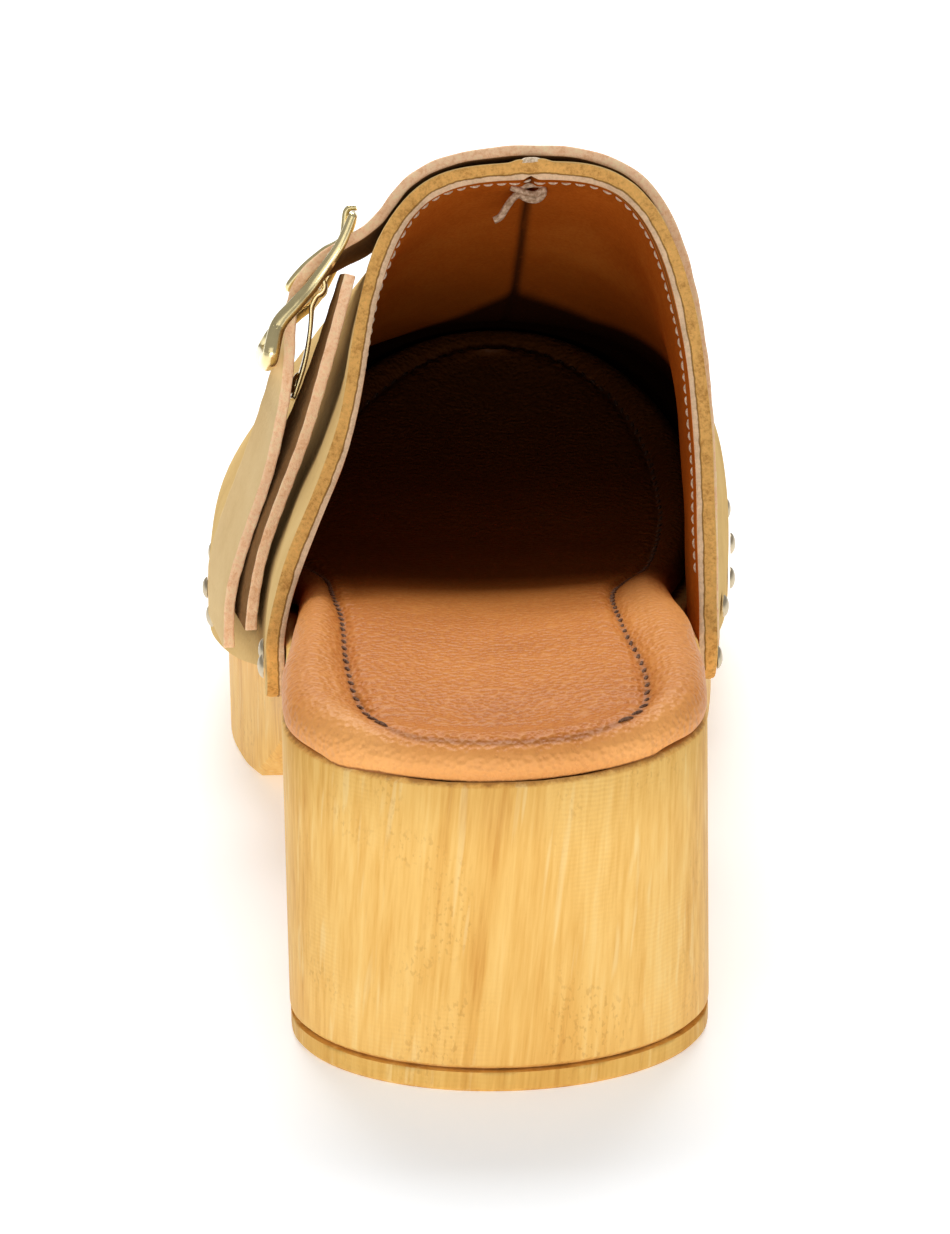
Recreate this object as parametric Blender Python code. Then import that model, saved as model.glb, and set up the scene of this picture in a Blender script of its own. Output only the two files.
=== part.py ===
"""Left clog mule: wooden sole with a block heel, nailed leather upper, padded insole, buckled instep strap.

Sizes are millimetres. A station runs from the back of the heel to the toe, x is positive on the medial
side, and z is the height over the floor. The shoe's empty turns this into metres, with the toe along +Y.
"""

import math
from collections import namedtuple

import bmesh
import bpy
from mathutils import Vector

for old_object in list(bpy.data.objects):
    bpy.data.objects.remove(old_object, do_unlink=True)

# Driving sizes of the shoe
MM = 0.001
GAP = 0.3
LENGTH = 252.0
CENTRE_X = -3.535
CENTRE_STATION = 127.74
LATERAL = -1
MEDIAL = 1

# Outline of the wood: an elliptic heel, a table of half widths between, and a full round toe
HEEL_ROUND = 26.0
TOE_START = 188.0
TOE_POWER = 2.15
HEEL_SHARE = 0.12
TOE_SHARE = 0.28
Width = namedtuple("Width", "station lateral medial")
WIDTHS = [
    Width(0, 32.9, 32.9),
    Width(30, 32.9, 32.9),
    Width(60, 32.8, 32.8),
    Width(80, 33.9, 32.0),
    Width(96, 33.9, 31.6),
    Width(111, 36.0, 32.2),
    Width(130, 41.6, 34.6),
    Width(152, 46.0, 37.5),
    Width(170, 46.0, 38.7),
    Width(188, 44.4, 39.1),
    Width(220, 39.0, 38.3),
    Width(252, 36.0, 37.4),
]

# Side profile of the wood: footbed on top, and the heel, arch, tread and toe spring below
Height = namedtuple("Height", "station height")
FOOTBED = [
    Height(0, 51.0),
    Height(26, 52.0),
    Height(50, 51.4),
    Height(66, 49.4),
    Height(85, 45.4),
    Height(105, 39.2),
    Height(130, 32.6),
    Height(160, 29.0),
    Height(190, 29.0),
    Height(220, 31.2),
    Height(252, 35.5),
]
HEEL_BREAST = 62.5
BREAST_STATIONS = [64.0, 65.4, 67.5, 71.0]
WAIST_START = 78.0
LIFT_THICKNESS = 3.4
UNDERSIDE = [
    Height(0, LIFT_THICKNESS + GAP),
    Height(HEEL_BREAST, LIFT_THICKNESS + GAP),
    Height(67.5, 24.0),
    Height(80, 26.0),
    Height(92, 24.2),
    Height(102, 20.0),
    Height(111, 13.4),
    Height(120, 6.6),
    Height(128, 1.0),
    Height(133, 0.0),
    Height(188, 0.0),
    Height(205, 1.6),
    Height(222, 4.6),
    Height(238, 8.2),
    Height(252, 12.0),
]
TREAD_EDGE = 1.0
RIM_EDGE = 0.8
FOOTBED_DISH = 1.2
LiftLevel = namedtuple("LiftLevel", "out height")
LIFT_EDGE = [LiftLevel(-0.7, 0.0), LiftLevel(-0.1, 0.7), LiftLevel(-0.1, LIFT_THICKNESS)]

# Insole: a padded sock with a rolled edge, close to the wood's edge at the heel and inset in the vamp
HEEL_INSET = 0.7
VAMP_INSET = 2.2
INSET_FROM = 56.0
INSET_TO = 76.0
Roll = namedtuple("Roll", "inset height")
INSOLE_ROLL = [
    Roll(0.6, GAP),
    Roll(0.0, 2.3),
    Roll(0.9, 4.7),
    Roll(2.8, 6.0),
    Roll(5.2, 6.3),
    Roll(8.8, 5.1),
    Roll(12.0, 5.5),
]

# Upper: ribs run from the nailed band up to the crest, fuller and leaning at the collar, fanned at the toe
WALL = 3.0
BAND_OVERLAP = 9.5
BAND_ABOVE = 1.0
COLLAR_STATION = 66.0
CORNER_RADIUS = 7.0
LATERAL_DROP = 1.8
DROP_RUN = 30.0
LEAN_TOP = 0.5
RibShape = namedtuple("RibShape", "station crest_station lateral_full medial_full lean bulge fan")
RIB_SHAPES = [
    RibShape(66, 123.0, 3.5, 3.4, 12.4, 0.6, 0.0),
    RibShape(85, 134.0, 2.8, 2.9, 12.0, 0.5, 0.0),
    RibShape(105, 147.0, 2.7, 2.6, 10.8, 0.5, 0.1),
    RibShape(125, 161.0, 2.45, 2.4, 9.0, 0.5, 0.3),
    RibShape(150, 178.0, 2.2, 2.2, 6.6, 0.2, 0.6),
    RibShape(185, 200.0, 2.1, 2.1, 3.4, 0.0, 1.0),
    RibShape(220, 219.0, 2.1, 2.1, 0.8, 0.0, 1.0),
    RibShape(252, 232.0, 2.1, 2.1, 0.0, 0.0, 1.0),
]
Crest = namedtuple("Crest", "station x height")
CREST = [
    Crest(60, 8.0, 113.0),
    Crest(100, 8.0, 112.6),
    Crest(123, 7.7, 111.2),
    Crest(140, 6.8, 101.0),
    Crest(158, 5.6, 86.0),
    Crest(176, 4.6, 73.5),
    Crest(196, 3.4, 63.5),
    Crest(216, 2.3, 56.5),
    Crest(234, 1.5, 51.5),
    Crest(260, 1.2, 46.0),
]
SEAM_HEIGHT = 2.4
SEAM_UNDER_STRAP = 0.6
SEAM_RISE_FROM = 143.0
SEAM_RISE_TO = 154.0
SEAM_FOOT = 3.3
SEAM_SHOULDER = 2.5
SEAM_FULL_TO = 204.0
SEAM_END = 228.0
ARCH_ANGLES = [8, 16, 24, 32, 40, 48, 56, 64, 72, 80]

# Instep strap: its medial stretch lies on the upper, and its lateral stretch hangs free through the buckle
STRAP_THICKNESS = 1.9
STRAP_WIDTH = 17.0
STRAP_GAP = 0.5
SEAM_BRIDGE = 8.0
Foot = namedtuple("Foot", "over_footbed rear_station")
STRAP_FOOT = [Foot(-6.5, 95.0), Foot(-1.0, 97.0)]
Lie = namedtuple("Lie", "side angle rear_station")
STRAP_ON_UPPER = [
    Lie(MEDIAL, 7, 100.0),
    Lie(MEDIAL, 17, 105.0),
    Lie(MEDIAL, 28, 111.0),
    Lie(MEDIAL, 37, 116.0),
    Lie(MEDIAL, 44, 119.4),
    Lie(MEDIAL, 51, 122.3),
    Lie(MEDIAL, 60, 124.7),
    Lie(MEDIAL, 74, 126.0),
    Lie(MEDIAL, 90, 126.2),
    Lie(LATERAL, 77, 126.0),
    Lie(LATERAL, 65, 124.5),
    Lie(LATERAL, 56, 122.4),
    Lie(LATERAL, 48, 120.2),
]
Free = namedtuple("Free", "rear_x rear_station rear_z front_x front_z")
STRAP_FREE = [
    Free(-24.2, 117.5, 97.9, -24.8, 89.4),
    Free(-28.2, 114.8, 95.7, -29.0, 87.6),
    Free(-30.6, 113.0, 92.4, -31.6, 84.9),
    Free(-31.4, 111.8, 87.4, -32.7, 81.2),
    Free(-31.8, 111.0, 80.0, -33.8, 76.8),
    Free(-33.2, 110.5, 72.0, -35.8, 70.0),
    Free(-35.6, 110.0, 62.0, -38.9, 61.0),
    Free(-38.5, 110.0, 54.0, -41.9, 53.5),
    Free(-40.9, 110.0, 47.0, -44.3, 47.0),
    Free(-42.7, 110.0, 40.0, -46.1, 40.0),
    Free(-43.1, 110.0, 31.5, -46.3, 31.5),
]

# Chape strip between the upper and the strap's tail, fixed at its foot and free at its top
STRIP_THICKNESS = 2.0
STRIP_WIDTH = 13.0
STRIP_PATH = [
    Free(-21.2, 108.5, 96.8, -22.3, 92.6),
    Free(-24.8, 107.8, 84.0, -25.9, 82.0),
    Free(-28.8, 107.2, 70.7, -30.6, 70.2),
    Free(-32.2, 106.8, 62.0, -34.5, 62.0),
    Free(-35.3, 106.4, 54.0, -37.9, 54.0),
    Free(-37.4, 106.2, 47.3, -40.2, 47.3),
    Free(-38.8, 106.0, 40.0, -41.9, 40.0),
    Free(-39.1, 106.0, 36.2, -42.2, 36.2),
]

# Buckle: a rounded frame bent in a long S, its centre bar, and the hook plate that the bar hangs in
BAR_RADIUS = 1.25
BAR_SIDES = 10
FrameRow = namedtuple("FrameRow", "x z front_x front_z")
FRAME_SIDE = [
    FrameRow(-21.7, 105.0, -22.1, 97.0),
    FrameRow(-24.0, 100.3, -24.4, 91.6),
    FrameRow(-28.3, 94.6, -28.6, 84.4),
    FrameRow(-31.2, 91.7, -32.0, 81.8),
    FrameRow(-34.2, 88.5, -35.6, 79.2),
    FrameRow(-35.8, 83.0, -37.6, 76.0),
]
FRAME_TOP_STATION = 114.8
FRAME_LOW_STATION = 106.6
FRAME_WIDTH = 24.8
FRAME_CORNER = 2.5
CENTRE_BAR_ROW = 2
CENTRE_BAR_RADIUS = 1.0
HOOK_STATION = 118.0
HOOK_WIDTH = 5.6
HOOK_THICKNESS = 0.8
HOOK_CLEARANCE = 0.35
HOOK_SKEW = -0.13
HookRow = namedtuple("HookRow", "x z")
HOOK_PLATE = [HookRow(-32.6, 72.5), HookRow(-30.5, 78.4), HookRow(-29.3, 84.2), HookRow(-28.9, 88.5)]
HOOK_CURL = (-78, 66)
CURL_STEPS = 10

# Nails round the lower edge of the upper, left out where a strap covers the band
NAIL_RADIUS = 2.1
NAIL_HEIGHT = 0.95
NAIL_SIDES = 10
NAIL_ABOVE_EDGE = 4.4
NAIL_FIRST_STATION = 71.0
NailLevel = namedtuple("NailLevel", "wide high")
NAIL_DOME = [NailLevel(1.0, 0.0), NailLevel(0.88, 0.45), NailLevel(0.5, 0.85)]
NAILS_PER_SIDE = 12
Cover = namedtuple("Cover", "start end")
COVERED = {LATERAL: Cover(102.0, 131.0), MEDIAL: Cover(91.0, 116.0)}


def smooth_value(rows, name, station):
    """Monotone cubic through one column of a table, at a station."""
    xs = [row.station for row in rows]
    ys = [getattr(row, name) for row in rows]
    station = min(max(station, xs[0]), xs[-1])
    last = len(xs) - 2
    index = min(max(sum(1 for x in xs if x <= station) - 1, 0), last)
    slopes = [(ys[i + 1] - ys[i]) / (xs[i + 1] - xs[i]) for i in range(last + 1)]

    def tangent(i):
        if i == 0 or i == last + 1:
            return slopes[min(i, last)]
        before, after = slopes[i - 1], slopes[i]
        if before * after <= 0:
            return 0.0
        return 2 * before * after / (before + after)

    step = xs[index + 1] - xs[index]
    t = (station - xs[index]) / step
    start = (2 * t + 1) * (1 - t) ** 2 * ys[index] + t * (1 - t) ** 2 * step * tangent(index)
    end = t * t * (3 - 2 * t) * ys[index + 1] + t * t * (t - 1) * step * tangent(index + 1)
    return start + end


def ease(t):
    """Smooth step from 0 to 1."""
    t = min(max(t, 0.0), 1.0)
    return t * t * (3 - 2 * t)


def mix(a, b, share):
    return a + (b - a) * share


def station_of(turn):
    """Station for a share of the way from the heel's back, 0, to the toe's tip, 1."""
    quarter = math.pi / 2
    if turn < HEEL_SHARE:
        return HEEL_ROUND * (1 - math.cos(turn / HEEL_SHARE * quarter))
    if turn > 1 - TOE_SHARE:
        return TOE_START + (LENGTH - TOE_START) * math.sin((turn - 1 + TOE_SHARE) / TOE_SHARE * quarter)
    share = (turn - HEEL_SHARE) / (1 - HEEL_SHARE - TOE_SHARE)
    return mix(HEEL_ROUND, TOE_START, share)


def turn_of(station):
    """Inverse of station_of for the stretch between the heel's round and the toe's."""
    share = (station - HEEL_ROUND) / (TOE_START - HEEL_ROUND)
    return HEEL_SHARE + share * (1 - HEEL_SHARE - TOE_SHARE)


def outline(side, turn):
    """Plan point on the wood's edge. A turn past an end comes back along the other side."""
    if turn < 0 or turn > 1:
        side = -side
        turn = -turn if turn < 0 else 2 - turn
    station = station_of(turn)
    lateral = smooth_value(WIDTHS, "lateral", station)
    medial = smooth_value(WIDTHS, "medial", station)
    round_off = 1.0
    if station < HEEL_ROUND:
        round_off = math.sqrt(max(0.0, 1 - (1 - station / HEEL_ROUND) ** 2))
    elif station > TOE_START:
        ahead = (station - TOE_START) / (LENGTH - TOE_START)
        round_off = max(0.0, 1 - ahead ** TOE_POWER) ** (1 / TOE_POWER)
    half = (lateral + medial) / 2 * round_off
    return Vector(((medial - lateral) / 2 + side * half, station))


def edge_point(side, turn, out):
    """Plan point at a distance outside the wood's edge."""
    step = 0.004
    along = outline(side, turn + step) - outline(side, turn - step)
    outward = Vector((along.y, -along.x)).normalized() * side
    return outline(side, turn) + outward * out


def turns_between(first, last, count):
    return [mix(first, last, i / count) for i in range(count + 1)]


def finish(name, colour, roughness, metallic=0.0):
    """Principled material of one plain colour."""
    material = bpy.data.materials.new(name)
    material.use_nodes = True
    shader = material.node_tree.nodes["Principled BSDF"]
    shader.inputs["Base Color"].default_value = (*colour, 1.0)
    shader.inputs["Roughness"].default_value = roughness
    shader.inputs["Metallic"].default_value = metallic
    return material


WOOD = finish("honey_wood", (0.62, 0.36, 0.13), 0.5)
LIFT = finish("heel_lift_wood", (0.58, 0.31, 0.10), 0.45)
VAMP_LEATHER = finish("tan_vamp_leather", (0.60, 0.42, 0.20), 0.5)
SOCK_LEATHER = finish("tan_sock_leather", (0.66, 0.32, 0.12), 0.55)
STRAP_LEATHER = finish("tan_strap_leather", (0.72, 0.42, 0.24), 0.55)
GOLD = finish("polished_gold_metal", (0.86, 0.68, 0.36), 0.2, 1.0)
NAIL_METAL = finish("pale_nail_metal", (0.82, 0.76, 0.58), 0.35, 1.0)

shoe = bpy.data.objects.new("shoe", None)
shoe.location = (-CENTRE_X * MM, -CENTRE_STATION * MM, 0.0)
shoe.scale = (MM, MM, MM)
bpy.context.collection.objects.link(shoe)


def add_solid(name, points, faces, material):
    """Closed solid from points in millimetres, on the shoe's empty."""
    mesh = bpy.data.meshes.new(name)
    mesh.from_pydata([tuple(point) for point in points], [], faces)
    work = bmesh.new()
    work.from_mesh(mesh)
    bmesh.ops.recalc_face_normals(work, faces=work.faces)
    work.to_mesh(mesh)
    work.free()
    mesh.shade_smooth()
    mesh.set_sharp_from_angle(angle=math.radians(35))
    mesh.materials.append(material)
    solid = bpy.data.objects.new(name, mesh)
    solid.parent = shoe
    bpy.context.collection.objects.link(solid)
    return solid


def ring(turns, out, height):
    """Closed loop at a distance outside the wood's edge, up the lateral side and back down the medial."""
    walk = [(LATERAL, turn) for turn in turns] + [(MEDIAL, turn) for turn in reversed(turns[1:-1])]
    points = []
    for side, turn in walk:
        station = station_of(turn)
        x, y = edge_point(side, turn, out(station))
        points.append(Vector((x, y, height(station))))
    return points


def ladder_cap(points, start, count, columns, dish):
    """Faces across a ring, from its lateral to its medial points, sunk by dish in the middle."""
    half = count // 2
    rows = []
    for row in range(1, half):
        left, right = points[start + row], points[start + count - row]
        indices = [start + row]
        for column in range(1, columns):
            share = column / columns
            point = left.lerp(right, share)
            point.z -= dish * 4 * share * (1 - share)
            indices.append(len(points))
            points.append(point)
        rows.append(indices + [start + count - row])
    faces = [(start, rows[0][i], rows[0][i + 1]) for i in range(columns)]
    faces += [(start + half, rows[-1][i + 1], rows[-1][i]) for i in range(columns)]
    for near, far in zip(rows, rows[1:]):
        faces += [(near[i], far[i], far[i + 1], near[i + 1]) for i in range(columns)]
    return faces


def ringed_solid(name, rings, low_columns, top_columns, dish, material):
    """Solid of loops stacked from the bottom up, closed across its first and last loops."""
    count = len(rings[0])
    points = [point for loop in rings for point in loop]
    faces = []
    for level in range(len(rings) - 1):
        low, high = level * count, (level + 1) * count
        for i in range(count):
            j = (i + 1) % count
            faces.append((low + i, low + j, high + j, high + i))
    faces += ladder_cap(points, 0, count, low_columns, 0.0)
    faces += ladder_cap(points, (len(rings) - 1) * count, count, top_columns, dish)
    return add_solid(name, points, faces, material)


def footbed(station):
    return smooth_value(FOOTBED, "height", station)


def underside(station):
    return smooth_value(UNDERSIDE, "height", station)


def build_sole():
    """Platform, arch and block heel in one, with eased edges top and bottom."""
    turns = turns_between(0, HEEL_SHARE, 7)
    turns += turns_between(HEEL_SHARE, turn_of(HEEL_BREAST), 5)[1:]
    turns += [turn_of(station) for station in BREAST_STATIONS]
    turns += turns_between(turn_of(WAIST_START), turn_of(TOE_START), 18)
    turns += turns_between(1 - TOE_SHARE, 1, 11)[1:]
    rings = [
        ring(turns, lambda s: -TREAD_EDGE, underside),
        ring(turns, lambda s: 0.0, lambda s: underside(s) + TREAD_EDGE),
        ring(turns, lambda s: 0.0, lambda s: footbed(s) - RIM_EDGE),
        ring(turns, lambda s: -RIM_EDGE, footbed),
    ]
    return ringed_solid("sole_wood", rings, 4, 6, FOOTBED_DISH, WOOD)


def build_heel_lift():
    """Flat wear layer under the heel, cut straight at the breast."""
    back = turns_between(turn_of(HEEL_BREAST), HEEL_SHARE, 3)[:-1] + turns_between(HEEL_SHARE, 0, 7)
    walk = [(LATERAL, turn) for turn in back] + [(MEDIAL, turn) for turn in reversed(back[:-1])]
    count = len(walk)
    points = []
    for out, height in LIFT_EDGE:
        for side, turn in walk:
            x, y = edge_point(side, turn, out)
            points.append(Vector((x, y, height)))
    faces = [tuple(range(count)), tuple(range(2 * count, 3 * count))]
    for low in (0, count):
        for i in range(count):
            j = (i + 1) % count
            faces.append((low + i, low + j, low + count + j, low + count + i))
    return add_solid("heel_lift", points, faces, LIFT)


def insole_inset(station):
    return mix(HEEL_INSET, VAMP_INSET, ease((station - INSET_FROM) / (INSET_TO - INSET_FROM)))


def build_insole():
    """Padded sock: rolled edge, a shallow valley at its sewn line, and a dished middle."""
    turns = turns_between(0, HEEL_SHARE, 6)
    turns += turns_between(HEEL_SHARE, 1 - TOE_SHARE, 20)[1:]
    turns += turns_between(1 - TOE_SHARE, 1, 9)[1:]
    rings = []
    for roll in INSOLE_ROLL:
        inset = roll.inset
        rise = roll.height
        rings.append(ring(turns, lambda s: -insole_inset(s) - inset, lambda s: footbed(s) + rise))
    return ringed_solid("insole", rings, 4, 4, FOOTBED_DISH, SOCK_LEATHER)


Rib = namedtuple("Rib", "rim low base half lean crest_x crest_station fullness fan span")


def make_rib(side, turn):
    """One rib of the upper's outer face, from the rim point at a turn up to the crest."""
    station = station_of(turn)
    rim = edge_point(side, turn, GAP + WALL)
    into_corner = min(station - COLLAR_STATION, CORNER_RADIUS)
    corner = CORNER_RADIUS - math.sqrt(CORNER_RADIUS ** 2 - (CORNER_RADIUS - into_corner) ** 2)
    if side == LATERAL:
        corner -= LATERAL_DROP * (1 - ease((station - COLLAR_STATION) / DROP_RUN))
    crest_station = smooth_value(RIB_SHAPES, "crest_station", station)
    crest_x = smooth_value(CREST, "x", crest_station)
    lean = smooth_value(RIB_SHAPES, "lean" if side == LATERAL else "bulge", station)
    fan = smooth_value(RIB_SHAPES, "fan", station)
    half = rim.x - crest_x
    return Rib(
        rim=rim,
        low=footbed(station) - BAND_OVERLAP + corner,
        base=footbed(station) + BAND_ABOVE,
        half=half,
        lean=lean,
        crest_x=crest_x,
        crest_station=crest_station,
        fullness=smooth_value(RIB_SHAPES, "lateral_full" if side == LATERAL else "medial_full", station),
        fan=fan,
        span=math.hypot(half + lean, fan * (rim.y - crest_station)),
    )


def arch_point(rib, run, rise):
    """Point over the band: run falls from 1 at the rim to 0 at the crest, rise grows from 0 to 1."""
    station = mix(rib.rim.y, rib.crest_station, mix(rise, 1 - run, rib.fan))
    x = rib.crest_x + (rib.half + rib.lean * ease(rise / LEAN_TOP)) * run
    return Vector((x, station, mix(rib.base, smooth_value(CREST, "height", station), rise)))


def at_angle(rib, degrees):
    """Run and rise of the rib's rounded arch in a direction seen from its middle."""
    across = math.cos(math.radians(degrees))
    up = math.sin(math.radians(degrees))
    reach = (across ** rib.fullness + up ** rib.fullness) ** (-1 / rib.fullness)
    return reach * across, reach * up


def near_crest(rib, distance):
    """Run and rise of the rib's arch at a distance from the crest."""
    run = distance / rib.span
    return run, (1 - run ** rib.fullness) ** (1 / rib.fullness)


def rib_rows(rib):
    """Points of the plain face from the lower edge to beside the crest, with the seam's lift at each."""
    rows = []
    for height in (rib.low, mix(rib.low, rib.base, 0.5), rib.base):
        rows.append((Vector((rib.rim.x, rib.rim.y, height)), 0.0))
    for degrees in ARCH_ANGLES:
        rows.append((arch_point(rib, *at_angle(rib, degrees)), 0.0))
    rows.append((arch_point(rib, *near_crest(rib, SEAM_FOOT)), 0.0))
    rows.append((arch_point(rib, *near_crest(rib, SEAM_SHOULDER)), seam_lift(rib.crest_station)))
    return rows


def seam_lift(station):
    """Height of the raised seam on the crest: low under the strap, full past it, run out at the toe."""
    rise = ease((station - SEAM_RISE_FROM) / (SEAM_RISE_TO - SEAM_RISE_FROM))
    return mix(SEAM_UNDER_STRAP, SEAM_HEIGHT, rise) * ease((SEAM_END - station) / (SEAM_END - SEAM_FULL_TO))


def rib_turns():
    """Turns of the ribs from the collar's rounded corner to the toe's tip."""
    corner = [COLLAR_STATION + CORNER_RADIUS * (1 - math.cos(math.radians(a))) for a in (0, 30, 60, 90)]
    turns = [turn_of(station) for station in corner]
    turns += turns_between(turn_of(80.0), turn_of(TOE_START), 13)
    turns += turns_between(1 - TOE_SHARE, 1, 10)[1:]
    return turns


def build_upper():
    """Hollow leather wall, open at the collar and underneath, with a raised seam along its crest."""
    turns = rib_turns()
    last = len(turns) - 1
    walk = [(LATERAL, turn) for turn in turns] + [(MEDIAL, turn) for turn in reversed(turns[:-1])]
    face, lifts, columns, crests = [], [], [], []
    for number, (side, turn) in enumerate(walk):
        rib = make_rib(side, turn)
        column = []
        for point, lift in rib_rows(rib):
            column.append(len(face))
            face.append(point)
            lifts.append(lift)
        if number <= last:
            crests.append(len(face))
            face.append(arch_point(rib, 0.0, 1.0))
            lifts.append(seam_lift(rib.crest_station))
        column.append(crests[number if number <= last else 2 * last - number])
        columns.append(column)
    sheet = []
    for near, far in zip(columns, columns[1:]):
        for i in range(len(near) - 1):
            sheet.append((near[i], near[i + 1], far[i + 1], far[i]))

    outward = [Vector() for _ in face]
    for quad in sheet:
        corners = [face[index] for index in quad]
        normal = (corners[2] - corners[0]).cross(corners[3] - corners[1])
        for index in quad:
            outward[index] += normal
    middle = Vector((0.0, LENGTH / 2, 0.0))
    if outward[columns[0][1]].dot(face[columns[0][1]] - middle) < 0:
        outward = [-normal for normal in outward]

    count = len(face)
    outer = [point + Vector((0.0, 0.0, lift)) for point, lift in zip(face, lifts)]
    inner = [point - normal.normalized() * WALL for point, normal in zip(face, outward)]
    faces = list(sheet)
    faces += [tuple(index + count for index in reversed(quad)) for quad in sheet]
    low_edge = [column[0] for column in columns]
    collar_edge = columns[0] + columns[-1][-2::-1]
    for edge in (low_edge, collar_edge):
        faces += [(a, b, b + count, a + count) for a, b in zip(edge, edge[1:])]
    return add_solid("upper", outer + inner, faces, VAMP_LEATHER)


def skin_point(side, station, degrees):
    """Point on the upper's plain face at a station and an arch angle, with its distance to the crest."""
    low, high = turn_of(COLLAR_STATION), 1.0
    for _ in range(40):
        turn = (low + high) / 2
        rib = make_rib(side, turn)
        run, rise = at_angle(rib, degrees)
        point = arch_point(rib, run, rise)
        if point.y < station:
            low = turn
        else:
            high = turn
    return point, run * rib.span


def skin_normal(side, station, degrees):
    """Outward direction of the upper's plain face, level across the crest."""
    tilt = 3.0
    before = skin_point(side, station, degrees - tilt)[0]
    if degrees + tilt > 90:
        after = skin_point(-side, station, 180 - degrees - tilt)[0]
    else:
        after = skin_point(side, station, degrees + tilt)[0]
    ahead = skin_point(side, station + tilt, degrees)[0]
    here = skin_point(side, station, degrees)[0]
    normal = (after - before).cross(ahead - here)
    return normal.normalized() * (1 if normal.dot(here - Vector((0, station, 0))) > 0 else -1)


def spline(points, steps):
    """Smooth curve through points, with a number of steps in each span."""
    curve = []
    for i in range(len(points) - 1):
        a, b = points[max(i - 1, 0)], points[i]
        c, d = points[i + 1], points[min(i + 2, len(points) - 1)]
        for step in range(steps):
            t = step / steps
            bend = (2 * a - 5 * b + 4 * c - d) * t * t + (3 * b - a - 3 * c + d) * t ** 3
            curve.append(b + ((c - a) * t + bend) / 2)
    return curve + [points[-1]]


def leather_strip(name, rails, thickness, material):
    """Flat strip between rails that lie side by side on its inner face, thickened outwards."""
    rear, front = rails[0], rails[-1]
    sections = len(rear)
    points = []
    for i in range(sections):
        along = rear[min(i + 1, sections - 1)] - rear[max(i - 1, 0)]
        outward = (front[i] - rear[i]).cross(along).normalized() * thickness
        inner = [rail[i] for rail in rails]
        points += inner + [point + outward for point in reversed(inner)]
    width = 2 * len(rails)
    faces = [tuple(range(width)), tuple(range(width * (sections - 1), width * sections))]
    for i in range(sections - 1):
        for j in range(width):
            k = (j + 1) % width
            faces.append((i * width + j, i * width + k, (i + 1) * width + k, (i + 1) * width + j))
    return add_solid(name, points, faces, material)


def free_rails(rows, width):
    """Rear, middle and front rails of a strip's free stretch."""
    rear = [Vector((row.rear_x, row.rear_station, row.rear_z)) for row in rows]
    front = [Vector((row.front_x, row.rear_station + width, row.front_z)) for row in rows]
    return [rear, [a.lerp(b, 0.5) for a, b in zip(rear, front)], front]


def strap_rails():
    """Inner face of the strap: up the medial side, over the crest, and down through the buckle."""
    rails = [[], [], []]
    for row in STRAP_FOOT:
        for rail, share in zip(rails, (0.0, 0.5, 1.0)):
            turn = turn_of(row.rear_station + share * STRAP_WIDTH)
            x, y = edge_point(MEDIAL, turn, GAP + WALL + STRAP_GAP)
            rail.append(Vector((x, y, footbed(station_of(turn)) + row.over_footbed)))
    for row in STRAP_ON_UPPER:
        for rail, share in zip(rails, (0.0, 0.5, 1.0)):
            station = row.rear_station + share * STRAP_WIDTH
            point, distance = skin_point(row.side, station, row.angle)
            lift = STRAP_GAP + seam_lift(station) / (1 + (distance / SEAM_BRIDGE) ** 4)
            rail.append(point + skin_normal(row.side, station, row.angle) * lift)
    for rail, free in zip(rails, free_rails(STRAP_FREE, STRAP_WIDTH)):
        rail += free
    return [spline(rail, 2) for rail in rails]


def build_strap():
    return leather_strip("strap", strap_rails(), STRAP_THICKNESS, STRAP_LEATHER)


def build_chape_strip():
    rails = [spline(rail, 2) for rail in free_rails(STRIP_PATH, STRIP_WIDTH)]
    return leather_strip("chape_strip", rails, STRIP_THICKNESS, STRAP_LEATHER)


def round_bar(name, path, radius, closed, material):
    """Round bar along a path, closed in a loop or capped at its ends."""
    count = len(path)
    points = []
    for i, centre in enumerate(path):
        before = path[i - 1] if closed or i > 0 else centre
        after = path[(i + 1) % count] if closed or i < count - 1 else centre
        along = (after - before).normalized()
        first = along.cross(Vector((0.3, 0.2, 1.0))).normalized()
        second = along.cross(first)
        for j in range(BAR_SIDES):
            angle = 2 * math.pi * j / BAR_SIDES
            points.append(centre + (first * math.cos(angle) + second * math.sin(angle)) * radius)
    faces = []
    for i in range(count if closed else count - 1):
        near, far = i * BAR_SIDES, (i + 1) % count * BAR_SIDES
        for j in range(BAR_SIDES):
            k = (j + 1) % BAR_SIDES
            faces.append((near + j, near + k, far + k, far + j))
    if not closed:
        faces.append(tuple(range(BAR_SIDES)))
        faces.append(tuple(range((count - 1) * BAR_SIDES, count * BAR_SIDES)))
    return add_solid(name, points, faces, material)


def frame_stations():
    """Rear station of each row of the buckle's side."""
    last = len(FRAME_SIDE) - 1
    return [mix(FRAME_TOP_STATION, FRAME_LOW_STATION, i / last) for i in range(last + 1)]


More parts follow.
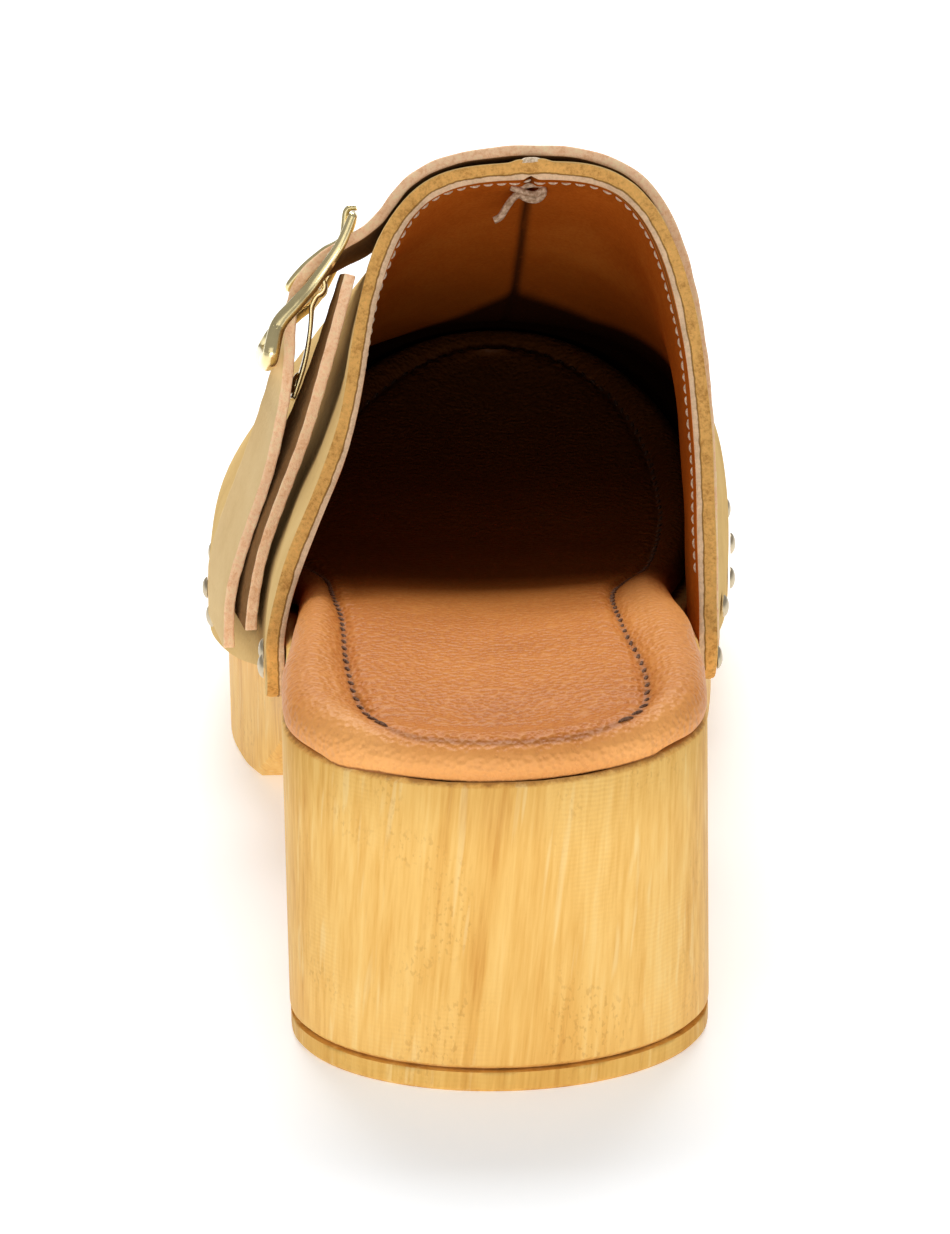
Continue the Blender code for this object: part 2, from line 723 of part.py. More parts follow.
def build_buckle_frame():
    """Closed frame of round bar with eased corners, joined with its centre bar."""
    stations = frame_stations()
    rear, front, path = [], [], []
    for row, station in zip(FRAME_SIDE, stations):
        rear.append(Vector((row.x, station, row.z)))
        front.append(Vector((row.front_x, station + FRAME_WIDTH, row.front_z)))
    for side, across in ((rear, front), (front[::-1], rear[::-1])):
        bar = spline(side, 3)
        inset = (across[0] - side[0]).normalized() * FRAME_CORNER
        outset = (across[-1] - side[-1]).normalized() * FRAME_CORNER
        path += [side[0] + inset] + bar[1:-1] + [side[-1] + outset]
    frame = round_bar("buckle_frame", path, BAR_RADIUS, True, GOLD)
    bar_ends = [rear[CENTRE_BAR_ROW], front[CENTRE_BAR_ROW]]
    bar = round_bar("centre_bar", bar_ends, CENTRE_BAR_RADIUS, False, GOLD)
    bar.hide_render = True
    bar.display_type = "WIRE"
    union = frame.modifiers.new("centre bar", "BOOLEAN")
    union.operation = "UNION"
    union.object = bar
    return frame


def build_hook_plate():
    """Thin plate on the strip's outer face, its top curled round the centre bar."""
    bar = FRAME_SIDE[CENTRE_BAR_ROW]
    slope = (bar.front_z - bar.z) / FRAME_WIDTH
    sink = slope * (HOOK_STATION - frame_stations()[CENTRE_BAR_ROW])
    curl_radius = CENTRE_BAR_RADIUS + HOOK_CLEARANCE + HOOK_THICKNESS / 2
    line = spline([Vector((row.x, 0.0, row.z)) for row in HOOK_PLATE], 3)
    flat = len(line)
    for step in range(CURL_STEPS + 1):
        angle = math.radians(mix(*HOOK_CURL, step / CURL_STEPS))
        curl = Vector((math.cos(angle), 0.0, math.sin(angle))) * curl_radius
        line.append(Vector((bar.x, 0.0, bar.z + sink)) + curl)
    last = len(line) - 1
    points = []
    for i, centre in enumerate(line):
        along = (line[min(i + 1, last)] - line[max(i - 1, 0)]).normalized()
        out = Vector((-along.z, 0.0, along.x)) * HOOK_THICKNESS / 2
        skew = HOOK_SKEW * max(0.0, 1 - i / (flat - 1))
        for face, end in ((1, -1), (1, 1), (-1, 1), (-1, -1)):
            reach = end * HOOK_WIDTH / 2
            points.append(centre + face * out + Vector((skew * reach, HOOK_STATION + reach, slope * reach)))
    faces = [(0, 1, 2, 3), tuple(4 * last + j for j in range(4))]
    for i in range(last):
        for j in range(4):
            k = (j + 1) % 4
            faces.append((4 * i + j, 4 * i + k, 4 * i + 4 + k, 4 * i + 4 + j))
    return add_solid("hook_plate", points, faces, GOLD)


def nail_mesh():
    """Domed head on its flat back, pointing along +Z."""
    work = bmesh.new()
    loops = []
    for wide, high in NAIL_DOME:
        circle = bmesh.ops.create_circle(work, segments=NAIL_SIDES, radius=wide * NAIL_RADIUS)
        for corner in circle["verts"]:
            corner.co.z = high * NAIL_HEIGHT
        loops.append(circle["verts"])
    top = work.verts.new((0.0, 0.0, NAIL_HEIGHT))
    work.faces.new(loops[0])
    for i in range(NAIL_SIDES):
        j = (i + 1) % NAIL_SIDES
        for low, high in zip(loops, loops[1:]):
            work.faces.new((low[i], low[j], high[j], high[i]))
        work.faces.new((loops[-1][i], loops[-1][j], top))
    bmesh.ops.recalc_face_normals(work, faces=work.faces)
    mesh = bpy.data.meshes.new("nail_head")
    work.to_mesh(mesh)
    work.free()
    mesh.shade_smooth()
    mesh.materials.append(NAIL_METAL)
    return mesh


def nail_turns(side):
    """Turns at even steps along the band, from the rear corner to just short of the toe's tip."""
    first = turn_of(NAIL_FIRST_STATION)
    turns = turns_between(first, 1, 400)
    rim = [edge_point(side, turn, GAP + WALL) for turn in turns]
    lengths = [0.0]
    for near, far in zip(rim, rim[1:]):
        lengths.append(lengths[-1] + (far - near).length)
    spacing = lengths[-1] / (NAILS_PER_SIDE - 0.5)
    wanted = [spacing * i for i in range(NAILS_PER_SIDE)]
    return [turns[min(range(len(turns)), key=lambda i: abs(lengths[i] - length))] for length in wanted]


def build_nails():
    """Nail heads along the band, each on the leather's outer face."""
    head = nail_mesh()
    number = 0
    for side in (LATERAL, MEDIAL):
        for turn in nail_turns(side):
            station = station_of(turn)
            if COVERED[side].start < station < COVERED[side].end:
                continue
            near = edge_point(side, turn, GAP + WALL + GAP)
            far = edge_point(side, turn, GAP + WALL + 1.0)
            outward = Vector((far.x - near.x, far.y - near.y, 0.0))
            number += 1
            nail = bpy.data.objects.new(f"nail_{number:02d}", head)
            nail.parent = shoe
            nail.location = (near.x, near.y, footbed(station) - BAND_OVERLAP + NAIL_ABOVE_EDGE)
            nail.rotation_euler = outward.to_track_quat("Z", "Y").to_euler()
            bpy.context.collection.objects.link(nail)


build_sole()
build_heel_lift()
build_insole()
build_upper()
build_strap()
build_chape_strip()
build_buckle_frame()
build_hook_plate()
build_nails()
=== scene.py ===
"""Left clog mule on a pale floor: wooden sole, padded insole, nailed leather upper and buckled strap."""

import math

import bmesh
import bpy
import numpy as np
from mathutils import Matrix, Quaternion, Vector
from mathutils.bvhtree import BVHTree


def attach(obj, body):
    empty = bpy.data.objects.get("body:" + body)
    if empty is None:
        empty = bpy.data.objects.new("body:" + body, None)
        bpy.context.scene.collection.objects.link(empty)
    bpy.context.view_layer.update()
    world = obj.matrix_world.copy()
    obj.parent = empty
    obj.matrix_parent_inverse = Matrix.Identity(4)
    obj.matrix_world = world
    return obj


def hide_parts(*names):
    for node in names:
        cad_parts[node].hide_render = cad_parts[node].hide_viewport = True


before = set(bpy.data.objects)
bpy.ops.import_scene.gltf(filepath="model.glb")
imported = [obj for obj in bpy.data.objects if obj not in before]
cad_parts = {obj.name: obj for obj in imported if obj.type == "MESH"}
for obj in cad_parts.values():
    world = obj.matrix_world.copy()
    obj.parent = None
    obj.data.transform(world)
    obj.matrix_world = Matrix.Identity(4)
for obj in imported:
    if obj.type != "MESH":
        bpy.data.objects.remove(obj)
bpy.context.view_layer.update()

MM = 0.001


# Sole: platform, arch and block heel carved from one block of pale hardwood. The grain stands nearly
# upright, a saw has left a faint level ripple, and glue has stained the rim under the insole's roll.
SMOOTH_BELOW = math.radians(40)


def select_only(piece):
    bpy.ops.object.select_all(action="DESELECT")
    piece.select_set(True)
    bpy.context.view_layer.objects.active = piece


def dress(node, name):
    """Copy of a CAD solid as a new piece, its triangles merged back into the quads it was built from."""
    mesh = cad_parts[node].data.copy()
    mesh.name = name
    mesh.materials.clear()
    piece = bpy.data.objects.new(name, mesh)
    bpy.context.scene.collection.objects.link(piece)
    select_only(piece)
    bpy.ops.object.mode_set(mode="EDIT")
    bpy.ops.mesh.select_all(action="SELECT")
    bpy.ops.mesh.remove_doubles(threshold=1e-6)
    bpy.ops.mesh.tris_convert_to_quads(face_threshold=0.7, shape_threshold=1.2)
    bpy.ops.object.mode_set(mode="OBJECT")
    return piece


def refine(piece, levels, sharp_degrees, crease):
    """Smooth form: corners sharper than an angle keep a crease, and the rest rounds off."""
    work = bmesh.new()
    work.from_mesh(piece.data)
    layer = work.edges.layers.float.get("crease_edge") or work.edges.layers.float.new("crease_edge")
    for edge in work.edges:
        bend = edge.calc_face_angle(math.pi)
        edge[layer] = crease if bend > math.radians(sharp_degrees) else 0.0
    work.to_mesh(piece.data)
    work.free()
    rounding = piece.modifiers.new("rounding", "SUBSURF")
    rounding.levels = levels
    rounding.render_levels = levels
    select_only(piece)
    bpy.ops.object.modifier_apply(modifier="rounding")
    bpy.ops.object.shade_smooth_by_angle(angle=SMOOTH_BELOW)


def new_finish(name):
    """Node material with its tree, its shader and its Object coordinates."""
    finish = bpy.data.materials.new(name)
    finish.use_nodes = True
    tree = finish.node_tree
    place = tree.nodes.new("ShaderNodeTexCoord").outputs["Object"]
    return finish, tree, tree.nodes["Principled BSDF"], place


def add_node(tree, kind, inputs, **settings):
    """Node with its settings. An input is a value, or another node's output."""
    made = tree.nodes.new("ShaderNode" + kind)
    for name, value in settings.items():
        setattr(made, name, value)
    for socket, value in inputs.items():
        if isinstance(value, bpy.types.NodeSocket):
            tree.links.new(value, made.inputs[socket])
        else:
            made.inputs[socket].default_value = value
    return made


def stretch(tree, place, scale, turn=(0.0, 0.0, 0.0)):
    """Coordinates turned and then squeezed, so that a pattern runs along the grain."""
    turned = add_node(tree, "Mapping", {"Vector": place, "Rotation": [math.radians(a) for a in turn]})
    return add_node(tree, "Mapping", {"Vector": turned.outputs["Vector"], "Scale": scale}).outputs["Vector"]


def noise(tree, place, scale, detail=3.0, rough=0.55):
    inputs = {"Vector": place, "Scale": scale, "Detail": detail, "Roughness": rough}
    return add_node(tree, "TexNoise", inputs).outputs["Fac"]


def ramp(tree, value, stops):
    """Colour ramp from (position, colour) stops."""
    made = add_node(tree, "ValToRGB", {"Fac": value})
    bar = made.color_ramp.elements
    while len(bar) < len(stops):
        bar.new(0.5)
    for element, (position, colour) in zip(bar, stops):
        element.position = position
        element.color = (*colour, 1.0)
    return made.outputs["Color"]


def fade(tree, value, low, high):
    """Smooth share from 0 at the low value to 1 at the high one."""
    inputs = {"Value": value, "From Min": low, "From Max": high}
    return add_node(tree, "MapRange", inputs, interpolation_type="SMOOTHSTEP").outputs["Result"]


def maths(tree, operation, first, second):
    return add_node(tree, "Math", {0: first, 1: second}, operation=operation).outputs["Value"]


def times(tree, first, second):
    return maths(tree, "MULTIPLY", first, second)


def plus(tree, first, second):
    return maths(tree, "ADD", first, second)


def blend_colour(tree, share, first, second):
    """Two colours mixed by a share. The second may be a plain colour."""
    made = add_node(tree, "Mix", {0: share, 6: first}, data_type="RGBA")
    if isinstance(second, bpy.types.NodeSocket):
        tree.links.new(second, made.inputs[7])
    else:
        made.inputs[7].default_value = (*second, 1.0)
    return made.outputs[2]


def tint(tree, colour, where, share, tone):
    """Colour taken part of the way to a tone, where a mask says so."""
    return blend_colour(tree, times(tree, where, share), colour, tone)


def bump(tree, height, strength, distance, under=None):
    """Fine relief over any relief under it."""
    inputs = {"Height": height, "Strength": strength, "Distance": distance}
    if under is not None:
        inputs["Normal"] = under
    return add_node(tree, "Bump", inputs).outputs["Normal"]


def points_of(piece):
    """The piece's points as an array."""
    flat = np.empty(len(piece.data.vertices) * 3)
    piece.data.vertices.foreach_get("co", flat)
    return flat.reshape(-1, 3)


def mark(piece, name, values):
    """Value at each point, for a finish to read."""
    attribute = piece.data.attributes.new(name, "FLOAT", "POINT")
    attribute.data.foreach_set("value", np.asarray(values, np.float32))


def marked(tree, name):
    return add_node(tree, "Attribute", {}, attribute_name=name).outputs["Fac"]


def skin_of(piece):
    """Search tree over the piece's faces."""
    work = bmesh.new()
    work.from_mesh(piece.data)
    tree = BVHTree.FromBMesh(work)
    work.free()
    return tree


STREAK_RUN, STREAK_LEAN = (1.0, 1.0, 0.035), (0.0, -7.0, 0.0)
FIBRE_RUN, FIBRE_LEAN = (1.0, 1.0, 0.06), (0.0, -6.0, 0.0)
PALE_RUN, PALE_LEAN = (1.0, 1.0, 0.05), (0.0, -8.0, 0.0)
BLOTCH_RUN = (1.0, 1.0, 0.45)
PORE_RUN = (1.0, 1.0, 0.6)
PALE_WOOD = (1.0, 0.78, 0.38)
PORE_BROWN = (0.50, 0.22, 0.05)
JOINT_BROWN = (0.36, 0.14, 0.030)
STAIN_BROWN = (0.36, 0.15, 0.038)
SAW_BROWN = (0.55, 0.25, 0.055)
HEEL_FRONT = (-60 * MM, -66 * MM)
JOINT_RAGGED = 1.6 * MM


def wood_finish(name, stops, joint_low, joint_high):
    """Streaks of honey-coloured wood, with pores, a saw's ripple and a dark line at the joint."""
    finish, tree, shader, place = new_finish(name)
    grain = stretch(tree, place, STREAK_RUN, STREAK_LEAN)
    streaks = noise(tree, grain, 260.0, 4.0, 0.6)
    fibres = noise(tree, stretch(tree, place, FIBRE_RUN, FIBRE_LEAN), 1100.0, 3.0, 0.6)
    blotch = noise(tree, stretch(tree, place, BLOTCH_RUN), 42.0, 3.0)
    mixed = times(tree, noise(tree, grain, 70.0, 2.0), 0.2)
    for layer, weight in ((streaks, 0.32), (fibres, 0.3), (blotch, 0.18)):
        mixed = plus(tree, mixed, times(tree, layer, weight))
    colour = ramp(tree, mixed, stops)
    pale = fade(tree, noise(tree, stretch(tree, place, PALE_RUN, PALE_LEAN), 620.0, 2.0), 0.58, 0.7)
    colour = tint(tree, colour, pale, 0.34, PALE_WOOD)
    pores = noise(tree, stretch(tree, place, PORE_RUN), 1500.0, 2.0, 0.5)
    patches = fade(tree, noise(tree, place, 55.0, 2.0), 0.48, 0.64)
    flecks = times(tree, fade(tree, pores, 0.54, 0.68), plus(tree, patches, 0.06))
    colour = tint(tree, colour, flecks, 0.3, PORE_BROWN)
    spot = add_node(tree, "SeparateXYZ", {"Vector": place}).outputs
    ragged = plus(tree, spot["Z"], times(tree, maths(tree, "SUBTRACT", streaks, 0.5), JOINT_RAGGED))
    line = times(tree, fade(tree, ragged, joint_high, joint_low), fade(tree, spot["Y"], *HEEL_FRONT))
    line = times(tree, line, fade(tree, noise(tree, place, 150.0, 2.0), 0.3, 0.6))
    colour = tint(tree, colour, line, 0.75, JOINT_BROWN)
    under = plus(tree, marked(tree, "below_roll"), times(tree, noise(tree, place, 380.0, 4.0, 0.7), 0.11))
    colour = tint(tree, colour, fade(tree, under, 0.13, 0.085), 0.8, STAIN_BROWN)
    saw = {"Vector": place, "Scale": 420.0, "Distortion": 5.0, "Detail": 2.0, "Detail Scale": 0.5}
    ripple = add_node(tree, "TexWave", saw, bands_direction="Z").outputs["Fac"]
    ripple = times(tree, ripple, fade(tree, blotch, 0.42, 0.62))
    colour = tint(tree, colour, ripple, 0.07, SAW_BROWN)
    tree.links.new(colour, shader.inputs["Base Color"])
    tree.links.new(plus(tree, times(tree, streaks, 0.2), 0.34), shader.inputs["Roughness"])
    shader.inputs["Specular IOR Level"].default_value = 0.06
    shader.inputs["Coat Weight"].default_value = 0.02
    shader.inputs["Coat Roughness"].default_value = 0.35
    relief = bump(tree, ripple, 0.09, 0.3 * MM)
    relief = bump(tree, fibres, 0.12, 0.4 * MM, relief)
    tree.links.new(bump(tree, flecks, -0.08, 0.4 * MM, relief), shader.inputs["Normal"])
    return finish


HONEY = [
    (0.36, (0.72, 0.35, 0.075)),
    (0.45, (0.86, 0.485, 0.125)),
    (0.53, (0.94, 0.575, 0.172)),
    (0.66, (0.99, 0.69, 0.27)),
]
SOLE_JOINT = (3.4 * MM, 4.0 * MM)
ROLL_REACH = 20 * MM
sole = dress("sole_wood", "sole_wood_block")
refine(sole, levels=2, sharp_degrees=22, crease=1.0)
roll_skin = skin_of(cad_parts["insole"])
to_roll = np.array([roll_skin.find_nearest(Vector(point))[3] for point in points_of(sole)])
mark(sole, "below_roll", np.clip(to_roll / ROLL_REACH, 0.0, 1.0))
sole.data.materials.append(wood_finish("honey_wood", HONEY, *SOLE_JOINT))
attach(sole, "root")
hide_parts("sole_wood")


# Heel lift: a thin wear layer of the same wood, glued under the heel with a dark joint above it. Its
# lower edge is worn round.
LIFT_HONEY = [
    (0.36, (0.60, 0.275, 0.052)),
    (0.45, (0.76, 0.42, 0.098)),
    (0.53, (0.85, 0.51, 0.136)),
    (0.66, (0.91, 0.61, 0.205)),
]
LIFT_FOOT = (-0.4 * MM, 0.4 * MM)
lift = dress("heel_lift", "heel_lift_layer")
refine(lift, levels=2, sharp_degrees=30, crease=1.0)
mark(lift, "below_roll", np.ones(len(lift.data.vertices)))
lift.data.materials.append(wood_finish("heel_lift_wood", LIFT_HONEY, *LIFT_FOOT))
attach(lift, "root")
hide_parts("heel_lift")


# Insole: a sheet of tan leather drawn over a thin pad and rolled under at the edge. Two rows of dark
# waxed thread pull it down along its sides, and a plain pressed groove joins them round the heel.
# Light is painted into its colour: a highlight on the roll, most at the back, shade along the stitch
# groove, and shade over the forefoot under the upper.
SEWN_LATERAL = [
    (4.7, -124.2), (-1.6, -123.7), (-8.7, -121.8), (-13.6, -117.4), (-16.3, -110.2), (-17.8, -103.8),
    (-18.8, -95.3), (-19.6, -85.4), (-20.0, -74.9), (-20.6, -64.1), (-21.5, -55.8), (-22.4, -44.0),
    (-23.0, -32.0), (-24.0, -19.0), (-25.8, -7.2), (-28.0, 3.7), (-30.2, 14.8), (-31.5, 23.7),
    (-31.5, 34.6), (-31.3, 45.3), (-30.3, 55.8), (-28.1, 68.2), (-23.7, 81.3), (-18.4, 93.4),
    (-12.8, 102.6), (-6.9, 108.9), (-1.3, 112.3), (4.8, 113.3),
]
SEWN_MEDIAL = [
    (4.7, -124.2), (11.0, -123.6), (17.3, -121.6), (23.6, -117.0), (26.3, -111.6), (27.0, -104.0),
    (26.8, -95.9), (25.8, -87.8), (24.4, -78.2), (23.3, -64.9), (22.8, -53.5), (23.4, -42.0),
    (25.4, -28.0), (28.6, -12.1), (31.0, 8.0), (32.6, 25.8), (33.3, 37.6), (32.9, 55.0),
    (32.0, 68.0), (29.6, 82.5), (26.0, 93.9), (21.2, 102.9), (15.8, 109.1), (10.5, 112.3), (4.8, 113.3),
]
ROW_STEP = 0.4 * MM
STITCH_PITCH = 3.2 * MM
FIRST_STITCH = 20.5 * MM
SEWN_FADE = 8 * MM
GROOVE_WIDTH, SEWN_WIDTH = 1.7 * MM, 1.1 * MM
GROOVE_DEPTH, SEWN_DEPTH = 0.35 * MM, 0.9 * MM
PUCKER_REACH = 3.2 * MM
PUCKER_INSIDE, PUCKER_OUTSIDE = 0.26 * MM, 0.12 * MM
SWELL_HEIGHT, SWELL_WAY, SWELL_WIDTH = 0.35 * MM, 4.5 * MM, 2.2 * MM
SEAT_MIDDLE = 4.1 * MM
SEAT_ENDS = (-100 * MM, 95 * MM)
BATCH = 4000


def smooth_path(points, step):
    """Even points, a step apart, on a smooth curve through the given ones."""
    rows = [Vector(point) for point in points]
    curve = []
    for i in range(len(rows) - 1):
        a, b = rows[max(i - 1, 0)], rows[i]
        c, d = rows[i + 1], rows[min(i + 2, len(rows) - 1)]
        for k in range(12):
            t = k / 12
            bend = (2 * a - 5 * b + 4 * c - d) * t * t + (3 * b - a - 3 * c + d) * t ** 3
            curve.append(b + ((c - a) * t + bend) / 2)
    curve = np.array([tuple(point) for point in curve] + [tuple(rows[-1])])
    run = np.concatenate([[0.0], np.cumsum(np.linalg.norm(np.diff(curve, axis=0), axis=1))])
    wanted = np.linspace(0.0, run[-1], max(2, int(round(run[-1] / step)) + 1))
    return np.stack([np.interp(wanted, run, curve[:, axis]) for axis in range(curve.shape[1])], axis=1)


def in_metres(rows):
    """Rows of millimetres in metres. A fourth value is a share, and stays."""
    return [tuple(value * MM for value in row[:3]) + tuple(row[3:]) for row in rows]


def set_points(piece, points):
    piece.data.vertices.foreach_set("co", points.ravel())
    piece.data.update()


def normals_of(piece):
    flat = np.empty(len(piece.data.vertices) * 3)
    piece.data.vertices.foreach_get("normal", flat)
    return flat.reshape(-1, 3)


def share_of(values, start, length):
    """Share from 0 at the start to 1 a length further on."""
    return np.clip((values - start) / length, 0.0, 1.0)


def between(first, last, share):
    return first + (last - first) * share


def hump(values, width):
    """Smooth hump, 1 at nought and small past its width."""
    return np.exp(-(values / width) ** 2)


insole = dress("insole", "padded_insole")
refine(insole, levels=3, sharp_degrees=75, crease=0.6)
sewn_sides = [smooth_path(in_metres(side), ROW_STEP) for side in (SEWN_LATERAL, SEWN_MEDIAL)]
points = points_of(insole)
facing_up = np.clip(normals_of(insole)[:, 2] * 1.6, 0.0, 1.0)
beside = np.full(len(points), np.inf)
along = np.zeros(len(points))
inside = np.zeros(len(points), bool)
middle = np.stack([np.full(len(points), SEAT_MIDDLE), np.clip(points[:, 1], *SEAT_ENDS)], axis=1)
for side in sewn_sides:
    for start in range(0, len(points), BATCH):
        block = slice(start, start + BATCH)
        gap = np.linalg.norm(points[block, None, :2] - side[None, :, :], axis=2)
        nearest = gap.argmin(axis=1)
        found = gap[np.arange(len(nearest)), nearest]
        closer = found < beside[block]
        spot = side[nearest]
        inward = ((points[block, :2] - spot) * (middle[block] - spot)).sum(axis=1) > 0
        beside[block] = np.where(closer, found, beside[block])
        along[block] = np.where(closer, nearest * ROW_STEP, along[block])
        inside[block] = np.where(closer, inward, inside[block])
sewn = share_of(along, FIRST_STITCH, SEWN_FADE)
valley = -hump(beside, between(GROOVE_WIDTH, SEWN_WIDTH, sewn)) * between(GROOVE_DEPTH, SEWN_DEPTH, sewn)
pucker = np.cos(2 * math.pi * along / STITCH_PITCH) * hump(beside, PUCKER_REACH)
pucker *= sewn * np.where(inside, PUCKER_INSIDE, PUCKER_OUTSIDE)
swell = SWELL_HEIGHT * hump(beside - SWELL_WAY, SWELL_WIDTH) * ~inside
points[:, 2] += (valley + pucker + swell) * facing_up

HEEL_HUB = np.array([4.1, -88.0]) * MM
TURNS = np.radians(np.arange(-200.0, 21.0, 4.0))
TURN_WIDTH = math.radians(4.0)
LAST_TURN = math.radians(30)
RIM_LOWEST = 38 * MM
HEEL_STARTS = -72 * MM
ROLL_STARTS = -76 * MM
ROLL_SPARE = 2.6 * MM
ROLL_DROP = 1.1 * MM
ROLL_FADE = 14 * MM
ROLL_WIDTH = 6 * MM


def heel_reach(spots):
    """Farthest points from the heel's middle, turn by turn round its back."""
    away = spots[:, :2] - HEEL_HUB
    turn = np.arctan2(away[:, 1], away[:, 0])
    turn = np.where(turn > LAST_TURN, turn - 2 * math.pi, turn)
    span = np.linalg.norm(away, axis=1)
    near = [np.abs(turn - middle) < TURN_WIDTH for middle in TURNS]
    far = np.array([span[one].max() if one.any() else 0.0 for one in near])
    for smoothing in range(3):
        far = np.convolve(np.pad(far, 1, mode="edge"), (0.25, 0.5, 0.25), mode="valid")
    return far, turn, span


wood_points = points_of(sole)
rim_points = wood_points[(wood_points[:, 2] > RIM_LOWEST) & (wood_points[:, 1] < ROLL_STARTS)]
wood_far = heel_reach(rim_points)[0]
at_heel = points[:, 1] < HEEL_STARTS
roll_far, turn, span = heel_reach(points[at_heel])
spare = np.clip(np.interp(turn, TURNS, wood_far - roll_far), 0.0, ROLL_SPARE)
share = share_of(beside[at_heel], 0.0, ROLL_WIDTH) * ~inside[at_heel]
share *= share_of(-points[at_heel, 1], -ROLL_STARTS, ROLL_FADE)
outward = (points[at_heel, :2] - HEEL_HUB) / np.maximum(span, MM)[:, None]
points[at_heel, :2] += outward * (spare * share)[:, None]
facing_down = np.clip(-normals_of(insole)[at_heel, 2] * 2.0, 0.0, 1.0)
points[at_heel, 2] -= ROLL_DROP * share * facing_down
set_points(insole, points)

GLUE_REACH = 0.9 * MM
FOREFOOT_STARTS, FOREFOOT_FADE, FOREFOOT_POWER = -82 * MM, 70 * MM, 1.6
ROW_WAY_SPAN = 16 * MM
BACK_STARTS, BACK_FADE = -108 * MM, 14 * MM
ROLL_EDGE = 3.0 * MM
SIDE_SHARE, BACK_SHARE = 0.32, 1.0
sole_skin = skin_of(sole)
over_wood = np.array([sole_skin.find_nearest(Vector(point))[3] for point in points])
mark(insole, "glue", 1.0 - share_of(over_wood, 0.0, GLUE_REACH))
# Painted shade: the insole darkens forward from the heel, where the upper shades it.
mark(insole, "forefoot_shade", share_of(points[:, 1], FOREFOOT_STARTS, FOREFOOT_FADE) ** FOREFOOT_POWER)
row_way = np.where(inside, beside, -beside) / ROW_WAY_SPAN
mark(insole, "row_way", np.where(facing_up > 0.1, np.clip(row_way, -0.5, 0.5), -0.5))
back = share_of(-points[:, 1], -BACK_STARTS, BACK_FADE)
# Painted highlight: the rolled edge is made lighter than the centre, fully round the back of the heel and a
# third as much along the sides.
mark(insole, "roll", share_of(beside, 0.0, ROLL_EDGE) * ~inside * between(SIDE_SHARE, BACK_SHARE, back))

SOCK = [(0.3, (0.54, 0.162, 0.027)), (0.52, (0.635, 0.205, 0.036)), (0.72, (0.72, 0.25, 0.048))]
ROLL_HIGHLIGHT_TAN = (0.98, 0.46, 0.145)
PEBBLE_TAN = (0.90, 0.42, 0.115)
FOREFOOT_SHADE_BROWN = (0.13, 0.033, 0.004)
DRAWN_BROWN = (0.42, 0.15, 0.04)
CREASE_SHADE_BROWN = (0.25, 0.085, 0.025)
GLUE_BROWN = (0.38, 0.15, 0.045)
DRAWN_RUN, DRAWN_LEAN = (0.25, 1.0, 1.0), (0.0, 0.0, 12.0)


def pebbles(tree, place, scale):
    """Rounded cells, as the grain of leather has."""
    cells = {"Vector": place, "Scale": scale, "Smoothness": 0.5}
    return add_node(tree, "TexVoronoi", cells, feature="SMOOTH_F1").outputs["Distance"]


def set_gloss(shader, rough, specular):
    shader.inputs["Roughness"].default_value = rough
    shader.inputs["Specular IOR Level"].default_value = specular


finish, tree, shader, place = new_finish("tan_sock_leather")
pebble = pebbles(tree, place, 1150.0)
drawn = noise(tree, stretch(tree, place, DRAWN_RUN, DRAWN_LEAN), 520.0, 3.0)
# Painted shade: a thin dark line right along the stitch rows and the pressed groove round the heel.
crease = fade(tree, maths(tree, "ABSOLUTE", marked(tree, "row_way"), 0.0), 0.055, 0.012)
colour = ramp(tree, noise(tree, place, 34.0, 4.0), SOCK)
# Painted highlight on the rolled edge.
colour = tint(tree, colour, marked(tree, "roll"), 0.95, ROLL_HIGHLIGHT_TAN)
colour = tint(tree, colour, fade(tree, pebble, 0.3, 0.8), 0.25, PEBBLE_TAN)
# Painted shade over the forefoot.
colour = tint(tree, colour, marked(tree, "forefoot_shade"), 0.92, FOREFOOT_SHADE_BROWN)
colour = tint(tree, colour, fade(tree, drawn, 0.5, 0.7), 0.1, DRAWN_BROWN)
# Painted shade in the stitch groove.
colour = tint(tree, colour, crease, 0.45, CREASE_SHADE_BROWN)
smear = plus(tree, marked(tree, "glue"), times(tree, noise(tree, place, 420.0), 0.5))
colour = blend_colour(tree, fade(tree, smear, 0.75, 1.05), colour, GLUE_BROWN)
tree.links.new(colour, shader.inputs["Base Color"])
set_gloss(shader, rough=0.44, specular=0.15)
relief = bump(tree, pebble, 0.6, 0.5 * MM)
relief = bump(tree, noise(tree, place, 2600.0, 2.0), 0.15, 0.3 * MM, relief)
relief = bump(tree, drawn, 0.1, 0.5 * MM, relief)
tree.links.new(bump(tree, crease, -0.6, 0.6 * MM, relief), shader.inputs["Normal"])
insole.data.materials.append(finish)
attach(insole, "root")
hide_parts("insole")


# Insole stitches: waxed dark-brown thread, each stitch lying a little across the row and sinking into
# the leather at both ends.
INSOLE_THREAD = 0.58 * MM
INSOLE_STITCH = 3.1 * MM
STITCH_LEAN = 0.30
LEAN_WOBBLE, LENGTH_WOBBLE = 0.06, 0.08
ABOVE = 200 * MM


def one_stitch():
    """Single stitch along X, as points and faces."""
    bpy.ops.object.select_all(action="DESELECT")
    quarter = (0.0, math.pi / 2, 0.0)
    bpy.ops.mesh.primitive_uv_sphere_add(segments=8, ring_count=8, radius=0.5, rotation=quarter)
    bpy.ops.object.transform_apply(location=True, rotation=True, scale=True)
    start = bpy.context.active_object
    shape = points_of(start)
    faces = [tuple(face.vertices) for face in start.data.polygons]
    bpy.data.objects.remove(start, do_unlink=True)
    return shape, faces


STITCH_SHAPE, STITCH_FACES = one_stitch()


def joined_mesh(name, points, faces):
    """New piece from arrays of points and faces."""
    mesh = bpy.data.meshes.new(name)
    mesh.from_pydata(points.tolist(), [], faces)
    mesh.shade_smooth()
    piece = bpy.data.objects.new(name, mesh)
    bpy.context.scene.collection.objects.link(piece)
    return piece


